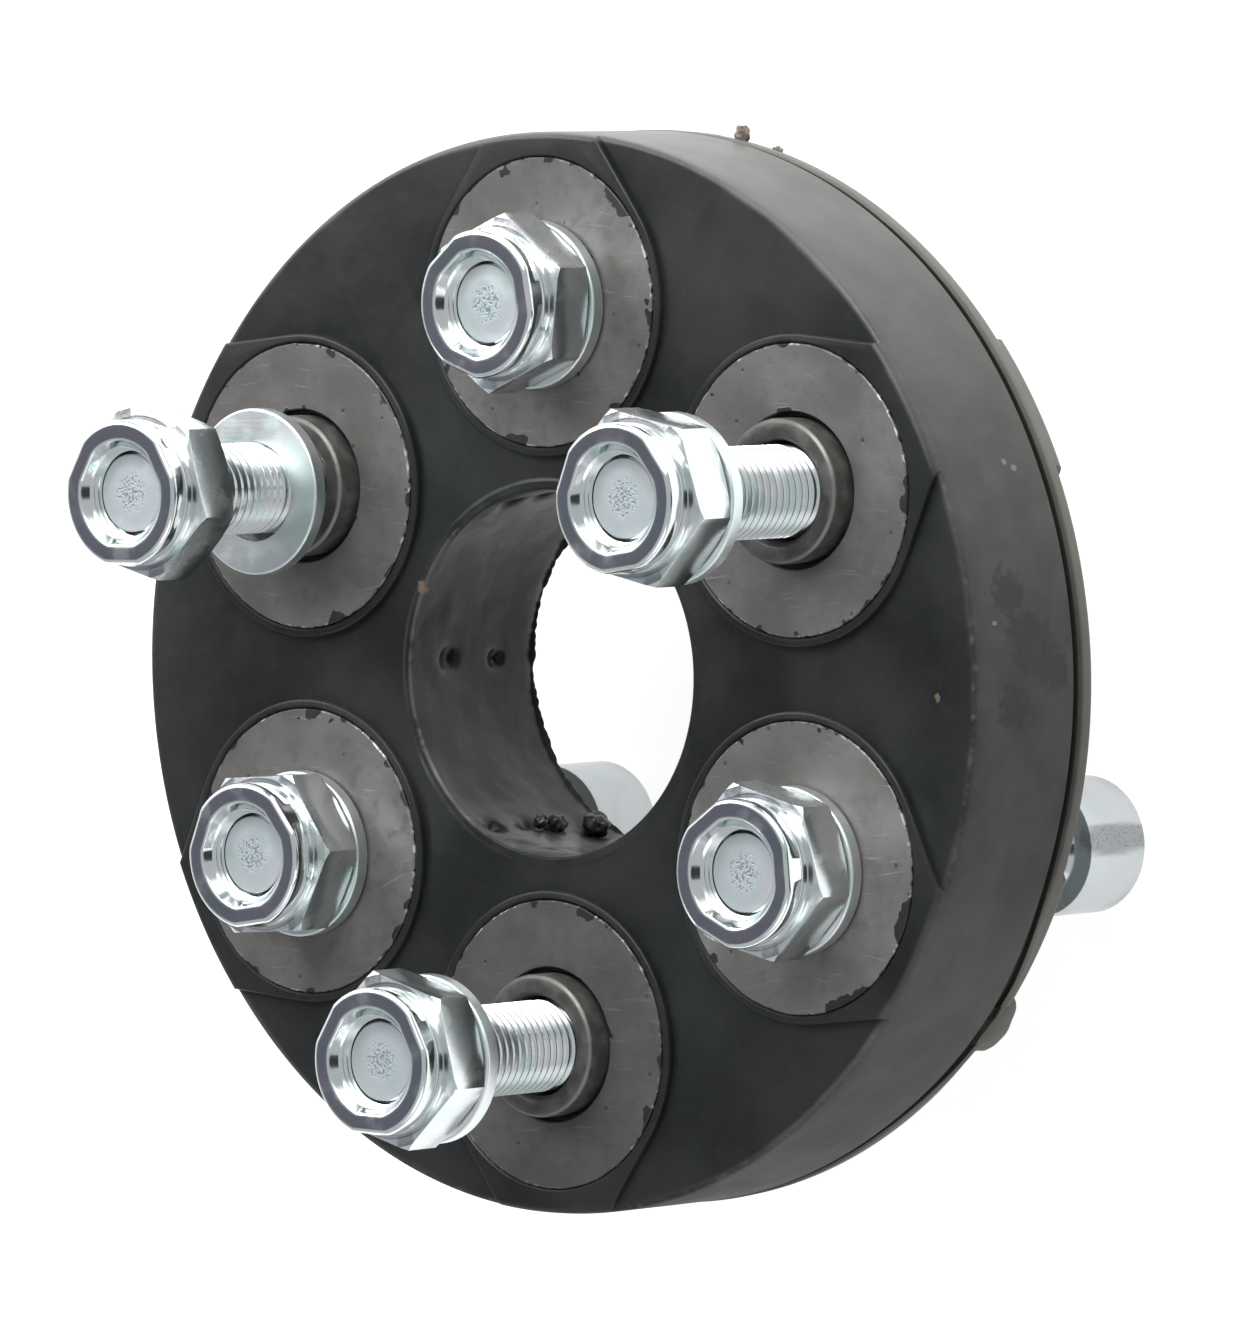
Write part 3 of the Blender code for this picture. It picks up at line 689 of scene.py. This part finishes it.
# Face plates. Each is a stamped steel ring bonded into the rubber round its sleeve. The dark phosphate is
# scratched and stained, moulding rubber clings to the rims, and bare steel shows where it has broken off.
PLATE_HOLE = 10.05 * MM
PLATE_STEPS = 160
PLATE_TONES = [1.02, 1.03, 1.28, 0.68, 1.05, 1.00]
plate_steel, tree, shader = new_material("phosphated plate steel")
place = object_place(tree)
radius = local_place(tree)[0]
tone = add_node(tree, "ShaderNodeAttribute", attribute_name="tone").outputs["Fac"]
cloud = patch_mask(tree, place, 9.0, 0.3, 0.7)
stain_and_painted_reflection = patch_mask(tree, place, 2.0, 0.45, 0.75)
colour = mix_colour(tree, cloud, (0.118, 0.114, 0.108), (0.172, 0.166, 0.160))
colour = mix_colour(tree, times(tree, stain_and_painted_reflection, 0.45), colour, (0.080, 0.076, 0.071))
bend = add_node(tree, "ShaderNodeTexNoise", {"Vector": place, "Scale": 40.0, "Detail": 1.0}).outputs["Color"]
bend = add_node(tree, "ShaderNodeVectorMath", {0: bend, "Scale": 0.012}, operation="SCALE").outputs["Vector"]
bent = add_node(tree, "ShaderNodeVectorMath", {0: place, 1: bend}, operation="ADD").outputs["Vector"]
for turn, from_value, pale in ((0.9, 0.66, 0.35), (-0.5, 0.68, 0.25)):
    stretch = {"Vector": bent, "Rotation": (0, 0, turn), "Scale": (1, 22, 1)}
    stretched = add_node(tree, "ShaderNodeMapping", stretch).outputs["Vector"]
    inputs = {"Position": stretched, "Size mm": 7.0, "From": from_value, "To": from_value + 0.05}
    strokes = use_group(tree, patches, inputs)["Mask"]
    colour = mix_colour(tree, times(tree, strokes, pale), colour, (0.34, 0.33, 0.32))
shade_of_plate = add_node(tree, "ShaderNodeCombineColor", {0: tone, 1: tone, 2: tone}).outputs[0]
colour = mix_colour(tree, 1.0, colour, shade_of_plate, "MULTIPLY")
pits = add_node(tree, "ShaderNodeTexVoronoi", {"Vector": place, "Scale": 260.0})
pit_mask = ramp(tree, pits.outputs["Distance"], 0.11, 0.05)
colour = mix_colour(tree, times(tree, pit_mask, 0.7), colour, (0.03, 0.03, 0.028))
chips = noise_value(tree, place, 900.0, 4.0)
bites = noise_value(tree, place, 210.0, 2.0)
ragged = times(tree, minus(tree, chips, 0.5), 1.6)
ragged = plus(tree, ragged, ramp(tree, bites, 0.56, 0.68, 0.0, 1.3))
residue = ramp(tree, plus(tree, radius, ragged), 18.70, 18.85)
residue_inside = ramp(tree, minus(tree, radius, times(tree, ragged, 0.5)), 10.1, 9.95)
residue = math_node(tree, "MAXIMUM", residue, residue_inside)
dashes = noise_value(tree, place, 620.0, 3.0)
dash_band = times(tree, ramp(tree, radius, 18.44, 18.50), ramp(tree, dashes, 0.53, 0.62))
dash_band = times(tree, dash_band, minus(tree, 1.0, residue))
dash_band = times(tree, dash_band, ramp(tree, cloud, 0.1, 0.8, 0.15, 1.0))
colour = mix_colour(tree, dash_band, colour, (0.48, 0.48, 0.46))
colour = mix_colour(tree, residue, colour, (0.012, 0.012, 0.012))
metallic = ramp(tree, residue, 0.0, 1.0, 0.3, 0.0)
roughness = ramp(tree, stain_and_painted_reflection, 0.0, 1.0, 0.44, 0.6)
relief = plus(tree, times(tree, residue, 1.5), cloud)
relief = minus(tree, relief, times(tree, pit_mask, 0.8))
bump = bumped(tree, relief, 0.5, 0.12 * MM)
feed(tree, shader, Base_Color=colour, Roughness=roughness, Metallic=metallic, Normal=bump)
plate_profile = [
    (PLATE_HOLE, PLATE_THICKNESS),
    (PLATE_RADIUS, PLATE_THICKNESS),
    (PLATE_RADIUS, 0),
    (PLATE_HOLE, 0),
]
for side in ("front", "rear"):
    for station in STATIONS:
        shape = spun(softened(plate_profile, 0.15 * MM), PLATE_STEPS)
        place, turn = station_place(station)
        place.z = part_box(f"{side}_plate_{station}")[0].z
        for vertex in shape.verts:
            if vertex.co.xy.length > PLATE_RADIUS - 0.3 * MM:
                burr = bump_noise(vertex.co + place, 1.8 * MM, 0.09 * MM)
                vertex.co += Vector((vertex.co.x, vertex.co.y, 0)).normalized() * burr
        name = f"{side}_face_plate_{station}"
        plate = placed(name, shape, place, turn, plate_steel, f"{side}_plate_{station}")
        tones = plate.data.attributes.new("tone", "FLOAT", "POINT")
        tones.data.foreach_set("value", [PLATE_TONES[station - 1]] * len(plate.data.vertices))

# Screws. Each is a forged 12 mm socket screw with a rolled fine thread on its last 36 mm, zinc plated
# bright. It goes in from the rear, and the tip is left with the rough mark of the blank.
PITCH = 1.25 * MM
CREST_RADIUS = 5.95 * MM
ROOT_RADIUS = 5.28 * MM
SHANK_RADIUS = 5.88 * MM
TIP_RADIUS = 4.95 * MM
TIP_LENGTH = 1.0 * MM
THREAD_LENGTH = 36 * MM
RUN_OUT = 1.8 * MM
HEAD_RADIUS = 9.0 * MM
HEAD_HEIGHT = 12.0 * MM
SOCKET_APOTHEM = 5.0 * MM
SOCKET_DEPTH = 6.0 * MM
THREAD_STEPS = 48
# The painted reflection on screw 3's head: its bearing and its squeeze along the axis.
PAINTED_REFLECTION_BEARING = math.radians(8)
PAINTED_REFLECTION_SQUEEZE = 0.15

zinc_sheen, source, result = new_group(
    "zinc tint", {"Position": ("Vector", None), "Size mm": ("Float", 6.0)}, ["Cool", "Warm", "Dull"]
)
TINTS = [("Cool", 0.0, 0.42, 0.66), ("Warm", 0.31, 0.5, 0.7), ("Dull", 0.57, 0.5, 0.75)]
for name, offset, start, end in TINTS:
    inputs = {0: source["Position"], 1: (offset, offset, offset)}
    shifted = add_node(zinc_sheen, "ShaderNodeVectorMath", inputs, operation="ADD").outputs["Vector"]
    inputs = {"Position": shifted, "Size mm": source["Size mm"], "From": start, "To": end}
    zinc_sheen.links.new(use_group(zinc_sheen, patches, inputs)["Mask"], result[name])

ZINC = (0.80, 0.83, 0.84)
ZINC_MINT = (0.70, 0.80, 0.78)
ZINC_PINK = (0.82, 0.78, 0.80)


def zinc_colour(tree, place, size):
    tint = use_group(tree, zinc_sheen, {"Position": place, "Size mm": size})
    colour = mix_colour(tree, tint["Cool"], ZINC, ZINC_MINT)
    return mix_colour(tree, times(tree, tint["Warm"], 0.5), colour, ZINC_PINK), tint["Dull"]


screw_zinc, tree, shader = new_material("bright zinc screw")
place = object_place(tree)
radius, height = local_place(tree)
colour, dull = zinc_colour(tree, place, 5.0)
tip = ramp(tree, height, 59.85, 59.95)
core = times(tree, tip, ramp(tree, radius, 3.4, 0.8))
speckle = noise_value(tree, place, 3000.0, 4.0)
speckle = ramp(tree, plus(tree, speckle, times(tree, core, 0.10)), 0.54, 0.66)
core = times(tree, speckle, ramp(tree, core, 0.0, 0.5))
colour = mix_colour(tree, times(tree, core, 0.70), colour, (0.20, 0.23, 0.28))
roughness = ramp(tree, dull, 0.0, 1.0, 0.15, 0.28)
roughness = plus(tree, roughness, times(tree, tip, 0.2))
fine = noise_value(tree, place, 500.0, 2.0)
relief = minus(tree, times(tree, fine, tip), core)
bump = bumped(tree, relief, 0.4, 0.1 * MM)
colour = mix_colour(tree, times(tree, tip, 0.4), colour, (0.60, 0.66, 0.70), "MULTIPLY")
metallic = ramp(tree, tip, 0.0, 1.0, 1.0, 0.55)
head = ramp(tree, height, 0.3, -0.3)
colour = mix_colour(tree, times(tree, head, 0.7), colour, (0.46, 0.48, 0.49))
roughness = plus(tree, roughness, times(tree, head, 0.16))
seat = times(tree, ramp(tree, height, -0.25, -0.1), ramp(tree, height, 0.3, 0.1))
seat = times(tree, seat, ramp(tree, radius, 6.1, 6.5))
colour = mix_colour(tree, seat, colour, (0.33, 0.37, 0.37))
metallic = minus(tree, metallic, times(tree, seat, 0.8))
# Painted reflection: a dark ragged band is painted on the side of screw 3's head, about 8 degrees round from
# +X, in place of a dark reflection.
reflecting_screw_low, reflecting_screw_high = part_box("screw_3")
centre = (reflecting_screw_low + reflecting_screw_high) / 2
centre += Vector((math.cos(PAINTED_REFLECTION_BEARING), math.sin(PAINTED_REFLECTION_BEARING), 0)) * HEAD_RADIUS
centre.z = (reflecting_screw_low.z + HEAD_HEIGHT / 2) * PAINTED_REFLECTION_SQUEEZE
squeeze = {"Vector": place, "Scale": (1, 1, PAINTED_REFLECTION_SQUEEZE)}
squeezed = add_node(tree, "ShaderNodeMapping", squeeze).outputs["Vector"]
inputs = {"Position": squeezed, "Centre": centre, "Size mm": 2.3, "Raggedness mm": 0.5}
stain_and_painted_reflection = times(tree, use_group(tree, spots, inputs)["Mask"], ramp(tree, speckle, -0.5, 1.0, 0.6, 1.0))
colour = mix_colour(tree, times(tree, stain_and_painted_reflection, 0.7), colour, (0.08, 0.085, 0.10))
feed(tree, shader, Base_Color=colour, Roughness=roughness, Metallic=metallic, Normal=bump)


def grown(shape, edges, radius, height):
    """Extrudes a round loop of edges and sets the new loop's radius and height."""
    new = bmesh.ops.extrude_edge_only(shape, edges=edges)["geom"]
    loop = [item for item in new if isinstance(item, bmesh.types.BMEdge)]
    for vertex in {vertex for edge in loop for vertex in edge.verts}:
        across = vertex.co.xy.normalized() * radius
        vertex.co = (across.x, across.y, height)
    return loop


def rim_edges(shape, height):
    """The open edges at one height."""
    level = [edge for edge in shape.edges if all(abs(v.co.z - height) < 0.002 * MM for v in edge.verts)]
    return [edge for edge in level if edge.is_boundary]


def screw_shape(length):
    """A screw whose head seats at height 0 and whose thread is a profile swept up in a helix."""
    shape = bmesh.new()
    start = length - THREAD_LENGTH
    flanks = [(ROOT_RADIUS, 0), (ROOT_RADIUS, 0.1), (CREST_RADIUS, 0.44), (CREST_RADIUS, 0.56)]
    flanks += [(ROOT_RADIUS, 0.9), (ROOT_RADIUS, 1)]
    corners = [shape.verts.new((radius, 0, start - 2 * PITCH + share * PITCH)) for radius, share in flanks]
    edges = [shape.edges.new(pair) for pair in zip(corners, corners[1:])]
    turns = math.ceil(THREAD_LENGTH / PITCH) + 4
    sweep = {"cent": (0, 0, 0), "axis": (0, 0, 1), "dvec": (0, 0, PITCH / THREAD_STEPS)}
    sweep.update(angle=2 * math.pi * turns, steps=turns * THREAD_STEPS)
    bmesh.ops.spin(shape, geom=corners + edges, **sweep)
    bmesh.ops.remove_doubles(shape, verts=shape.verts, dist=0.002 * MM)
    for height, above in ((start, False), (length, True)):
        geometry = shape.verts[:] + shape.edges[:] + shape.faces[:]
        plane = {"plane_co": (0, 0, height), "plane_no": (0, 0, 1)}
        bmesh.ops.bisect_plane(shape, geom=geometry, clear_outer=above, clear_inner=not above, **plane)
    for vertex in shape.verts:
        across = vertex.co.xy
        blend = min(1, (vertex.co.z - start) / RUN_OUT)
        radius = SHANK_RADIUS + (across.length - SHANK_RADIUS) * blend
        taper = (CREST_RADIUS - TIP_RADIUS) / TIP_LENGTH
        radius = min(radius, TIP_RADIUS + (length - vertex.co.z) * taper)
        across = across.normalized() * radius
        vertex.co = (across.x, across.y, vertex.co.z)
    loop = rim_edges(shape, length)
    dome = ((TIP_RADIUS - 0.2 * MM, 0.0), (4.4 * MM, -0.04 * MM), (3.3 * MM, 0.06 * MM), (2.0 * MM, 0.1 * MM))
    for radius, rise in dome:
        loop = grown(shape, loop, radius, length + rise)
    bmesh.ops.edgeloop_fill(shape, edges=grown(shape, loop, 0.8 * MM, length + 0.11 * MM))
    loop = rim_edges(shape, start)
    for radius, height in (
        (SHANK_RADIUS, 0.8 * MM),
        (SHANK_RADIUS + 0.6 * MM, 0),
        (HEAD_RADIUS - 0.5 * MM, 0),
        (HEAD_RADIUS - 0.12 * MM, -0.15 * MM),
        (HEAD_RADIUS, -0.5 * MM),
        (HEAD_RADIUS, 0.9 * MM - HEAD_HEIGHT),
        (HEAD_RADIUS - 0.25 * MM, 0.35 * MM - HEAD_HEIGHT),
        (HEAD_RADIUS - 0.9 * MM, -HEAD_HEIGHT),
        (SOCKET_APOTHEM + 1.1 * MM, -HEAD_HEIGHT),
    ):
        loop = grown(shape, loop, radius, height)
    for height in (0.7 * MM - HEAD_HEIGHT, SOCKET_DEPTH - HEAD_HEIGHT):
        loop = grown(shape, loop, SOCKET_APOTHEM, height)
        for vertex in {vertex for edge in loop for vertex in edge.verts}:
            angle = math.atan2(vertex.co.y, vertex.co.x) % (math.pi / 3) - math.pi / 6
            vertex.co.xy = vertex.co.xy / math.cos(angle)
    bmesh.ops.edgeloop_fill(shape, edges=grown(shape, loop, 1.0 * MM, SOCKET_DEPTH - HEAD_HEIGHT + 1.5 * MM))
    bmesh.ops.recalc_face_normals(shape, faces=shape.faces)
    return shape


for station in STATIONS:
    low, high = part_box(f"screw_{station}")
    length = high.z - low.z - HEAD_HEIGHT
    place, turn = station_place(station)
    place.z = low.z + HEAD_HEIGHT
    name = f"socket_screw_{station}"
    placed(name, screw_shape(length), place, turn, screw_zinc, f"screw_{station}")

# Washers. Each is blanked from strip, so one edge is rolled and the other sharp, and is plated with the
# screws. Five lie against their nuts, and the sixth has slid down its thread.
WASHER_BORE = 6.5 * MM
WASHER_ROLL = 0.35 * MM
WASHER_SAG = 0.3 * MM
washer_low, washer_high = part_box("washer_1")
WASHER_RADIUS = (washer_high.x - washer_low.x) / 2
WASHER_THICKNESS = washer_high.z - washer_low.z
washer_zinc, tree, shader = new_material("zinc washer")
place = object_place(tree)
colour, dull = zinc_colour(tree, place, 7.0)
brushed = add_node(
    tree, "ShaderNodeMapping", {"Vector": place, "Rotation": (0, 0, 0.5), "Scale": (1, 9, 1)}
).outputs["Vector"]
streaks = noise_value(tree, brushed, 260.0, 4.0)
roughness = ramp(tree, dull, 0.0, 1.0, 0.38, 0.50)
bump = bumped(tree, streaks, 0.25, 0.08 * MM)
feed(tree, shader, Base_Color=colour, Roughness=roughness, Metallic=1.0, Normal=bump)
for station in STATIONS:
    low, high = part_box(f"washer_{station}")
    place = (low + high) / 2
    place.y -= WASHER_SAG
    place.z = low.z
    roll = (WASHER_RADIUS - WASHER_ROLL, WASHER_THICKNESS - WASHER_ROLL)
    washer_profile = [
        (WASHER_BORE, WASHER_THICKNESS - 0.1 * MM),
        (WASHER_BORE + 0.1 * MM, WASHER_THICKNESS),
        *arc(roll, WASHER_ROLL, 90, 0, 7),
        (WASHER_RADIUS, 0.1 * MM),
        (WASHER_RADIUS - 0.1 * MM, 0),
        (WASHER_BORE + 0.25 * MM, 0),
        (WASHER_BORE, 0.25 * MM),
    ]
    shape = spun(washer_profile, BORE_STEPS)
    turn = station_place(station)[1]
    placed(f"flat_washer_{station}", shape, place, turn, washer_zinc, f"washer_{station}")

# Collar nuts. Each is a cold-formed hexagon with a round locking collar, whose rim is crimped inwards at
# three places after the thread is cut. They are zinc plated bright, and a few turns show in the mouth.
NUT_APOTHEM = 10.15 * MM
NUT_TURNS = [math.radians(angle) for angle in (22.6, 47.5, 45.7, 43.7, 3.2, 44.5)]
NUT_STEPS = 120
HEX_HEIGHT = 6.4 * MM
HEX_TOP_FACE = 11.1 * MM
HEX_SEAT_FACE = 10.2 * MM
COLLAR_RADIUS = 9.55 * MM
COLLAR_ROLL = 0.75 * MM
NECK_RADIUS = 8.9 * MM
MOUTH_RADIUS = 7.0 * MM
CRIMP_TURNS = [math.radians(angle) for angle in (10, 38, 5, 28, 38, 30)]
CRIMP_SHARE = 0.045
HEX_EDGE = 0.13 * MM

nut_zinc, tree, shader = new_material("bright zinc nut")
place = object_place(tree)
radius, height = local_place(tree)
colour, dull = zinc_colour(tree, place, 4.5)
drawn = add_node(tree, "ShaderNodeMapping", {"Vector": place, "Scale": (1, 1, 0.12)}).outputs["Vector"]
streaks = noise_value(tree, drawn, 1500.0, 3.0)
flats = ramp(tree, radius, 9.8, 10.1)
roughness = ramp(tree, dull, 0.0, 1.0, 0.13, 0.22)
roughness = plus(tree, roughness, times(tree, flats, 0.12))
brim = ramp(tree, height, 10.05, 10.2)
roughness = plus(tree, roughness, times(tree, brim, 0.06))
coarse = math_node(tree, "MAXIMUM", flats, times(tree, brim, 0.6))
relief = times(tree, streaks, plus(tree, times(tree, coarse, 0.8), 0.04))
bump = bumped(tree, relief, 0.3, 0.08 * MM)
feed(tree, shader, Base_Color=colour, Roughness=roughness, Metallic=1.0, Normal=bump)


def nut_shape(height, crimp_turn):
    """A turned blank with collar and mouth, cut to a hexagon by six planes and crimped to three flats."""
    corner = NUT_APOTHEM / math.cos(math.pi / 6)
    reach = corner + 0.6 * MM
    slope = math.tan(math.radians(30))
    roll = (COLLAR_RADIUS - COLLAR_ROLL, height - COLLAR_ROLL)
    profile = [
        (MOUTH_RADIUS - 0.1 * MM, height - 0.16 * MM),
        (MOUTH_RADIUS + 0.02 * MM, height - 0.07 * MM),
        (MOUTH_RADIUS + 0.2 * MM, height - 0.02 * MM),
        (MOUTH_RADIUS + 0.5 * MM, height - 0.002 * MM),
        *arc(roll, COLLAR_ROLL, 92, 0, 9),
        (COLLAR_RADIUS - 0.05 * MM, HEX_HEIGHT + 1.7 * MM),
        (NECK_RADIUS + 0.3 * MM, HEX_HEIGHT + 1.1 * MM),
        (NECK_RADIUS + 0.05 * MM, HEX_HEIGHT + 0.7 * MM),
        (NECK_RADIUS + 0.05 * MM, HEX_HEIGHT + 0.4 * MM),
        (NECK_RADIUS + 0.25 * MM, HEX_HEIGHT + 0.12 * MM),
        (NECK_RADIUS + 0.6 * MM, HEX_HEIGHT),
        (HEX_TOP_FACE, HEX_HEIGHT),
        (reach, HEX_HEIGHT - (reach - HEX_TOP_FACE) * slope),
        (reach, (reach - HEX_SEAT_FACE) * slope),
        (HEX_SEAT_FACE, 0),
        (6.7 * MM, 0),
        (6.1 * MM, 0.6 * MM),
        (6.1 * MM, height - 3.0 * MM),
        (5.5 * MM, height - 2.7 * MM),
        (6.05 * MM, height - 2.35 * MM),
        (5.55 * MM, height - 2.0 * MM),
        (6.1 * MM, height - 1.65 * MM),
        (5.75 * MM, height - 1.4 * MM),
        (6.15 * MM, height - 1.15 * MM),
        (6.2 * MM, height - 1.05 * MM),
        (MOUTH_RADIUS - 0.2 * MM, height - 0.35 * MM),
    ]
    shape = spun(profile, NUT_STEPS)
    for side in range(6):
        bearing = math.radians(30 + 60 * side)
        normal = Vector((math.cos(bearing), math.sin(bearing), 0))
        geometry = shape.verts[:] + shape.edges[:] + shape.faces[:]
        plane = {"plane_co": normal * NUT_APOTHEM, "plane_no": normal, "clear_outer": True}
        cut = bmesh.ops.bisect_plane(shape, geom=geometry, **plane)["geom_cut"]
        rim = [item for item in cut if isinstance(item, bmesh.types.BMEdge)]
        bmesh.ops.edgeloop_fill(shape, edges=rim)
    bmesh.ops.recalc_face_normals(shape, faces=shape.faces)
    hard = [
        edge
        for edge in shape.edges
        if min(v.co.xy.length for v in edge.verts) > NUT_APOTHEM - 0.01 * MM
        and len(edge.link_faces) == 2
        and edge.calc_face_angle() > math.radians(25)
    ]
    bevel = {"offset": HEX_EDGE, "segments": 2, "profile": 0.5, "affect": "EDGES", "material": -1}
    bmesh.ops.bevel(shape, geom=hard, clamp_overlap=True, **bevel)
    for vertex in shape.verts:
        rise = min(1, max(0, (vertex.co.z - height + 2.6 * MM) / (2.2 * MM)))
        rise *= rise * (3 - 2 * rise)
        radius = vertex.co.xy.length
        if rise == 0 or radius < 6.3 * MM:
            continue
        turn = math.remainder(math.atan2(vertex.co.y, vertex.co.x) - crimp_turn, 2 * math.pi / 3)
        flat = min(1, (1 - CRIMP_SHARE) / math.cos(turn))
        vertex.co.xy = vertex.co.xy * (1 - (1 - flat) * rise)
    return shape


for station in STATIONS:
    low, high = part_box(f"nut_{station}")
    place = (low + high) / 2
    place.z = low.z
    turn = NUT_TURNS[station - 1]
    shape = nut_shape(high.z - low.z, CRIMP_TURNS[station - 1] - turn)
    placed(f"collar_nut_{station}", shape, place, turn, nut_zinc, f"nut_{station}")

# Studio. A pale floor, a grey light tent with three bright screens and two dark gaps for the metal to mirror,
# a broad key lamp above the top of the picture, and a weaker lamp at each side. The camera is fitted to the
# photograph.
bpy.ops.mesh.primitive_plane_add(size=6.0)
floor = bpy.context.active_object
floor.name = "studio_floor"
floor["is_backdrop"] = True
floor_paint, tree, shader = new_material("floor paint")
feed(tree, shader, Base_Color=(0.50, 0.50, 0.50, 1), Roughness=0.9)
rays = add_node(tree, "ShaderNodeLightPath").outputs
seen = math_node(tree, "MAXIMUM", rays["Is Camera Ray"], rays["Is Glossy Ray"])
seen = math_node(tree, "MAXIMUM", seen, rays["Is Transmission Ray"])
feed(tree, shader, Emission_Color=(1, 1, 1, 1), Emission_Strength=times(tree, seen, 0.80))
floor.data.materials.append(floor_paint)

world = bpy.data.worlds.new("light tent")
bpy.context.scene.world = world
world.use_nodes = True
tree = world.node_tree
background = tree.nodes["Background"]
direction = add_node(tree, "ShaderNodeTexCoord").outputs["Generated"]
TENT = (0.50, 0.51, 0.52)
SCREENS = [
    ((0.10, 0.86, 0.50), 0.78, 0.90, (1.6, 1.6, 1.6)),
    ((-0.75, 0.45, 0.45), 0.86, 0.93, (1.2, 1.22, 1.25)),
    ((0.30, -0.80, 0.52), 0.90, 0.95, (0.9, 0.92, 0.95)),
    ((-0.644, -0.041, 0.764), 0.930, 0.985, (0.10, 0.10, 0.13)),
    ((0.953, -0.041, 0.302), 0.975, 0.982, (0.03, 0.035, 0.04)),
]
tent = TENT
for aim, start, end, tint in SCREENS:
    heading = Vector(aim).normalized()
    toward = add_node(tree, "ShaderNodeVectorMath", {0: direction, 1: heading}, operation="DOT_PRODUCT")
    tent = mix_colour(tree, ramp(tree, toward.outputs["Value"], start, end), tent, tint)
tree.links.new(tent, background.inputs["Color"])
background.inputs["Strength"].default_value = 1.0


def add_lamp(name, place, target, size, power):
    lamp = bpy.data.lights.new(name, "AREA")
    lamp.shape = "RECTANGLE"
    lamp.size, lamp.size_y = size
    lamp.energy = power
    item = bpy.data.objects.new(name, lamp)
    item.location = place
    item.rotation_euler = (Vector(target) - Vector(place)).to_track_quat("-Z", "Y").to_euler()
    bpy.context.scene.collection.objects.link(item)


add_lamp("key", (0.35, 0.95, 0.75), (0, 0, 0.06), (0.7, 0.5), 9.5)
add_lamp("fill", (-0.30, 0.30, 0.34), (-0.04, 0.03, 0.06), (0.25, 0.25), 1.1)
add_lamp("low", (0.5, -0.8, 0.7), (0, 0, 0.06), (0.6, 0.5), 0.7)

PHOTO_SIZE = (1234, 1318)
FOCAL_PIXELS = 12000
SENSOR_WIDTH = 36.0
CAMERA_PLACE = Vector((1.0056, 0.0660, 1.2392))
CAMERA_RIGHT = Vector((0.7647, -0.0129, -0.6443))
CAMERA_UP = Vector((-0.0168, 0.9991, -0.0400))
lens = bpy.data.cameras.new("camera")
lens.sensor_fit = "HORIZONTAL"
lens.sensor_width = SENSOR_WIDTH
lens.lens = FOCAL_PIXELS * SENSOR_WIDTH / PHOTO_SIZE[0]
lens.clip_end = 20.0
camera = bpy.data.objects.new("camera", lens)
backward = CAMERA_RIGHT.cross(CAMERA_UP)
turned = Matrix((CAMERA_RIGHT, CAMERA_UP, backward)).transposed().to_4x4()
camera.matrix_world = Matrix.Translation(CAMERA_PLACE) @ turned
bpy.context.scene.collection.objects.link(camera)
bpy.context.scene.camera = camera
bpy.context.scene.view_settings.view_transform = "Standard"

low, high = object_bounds()
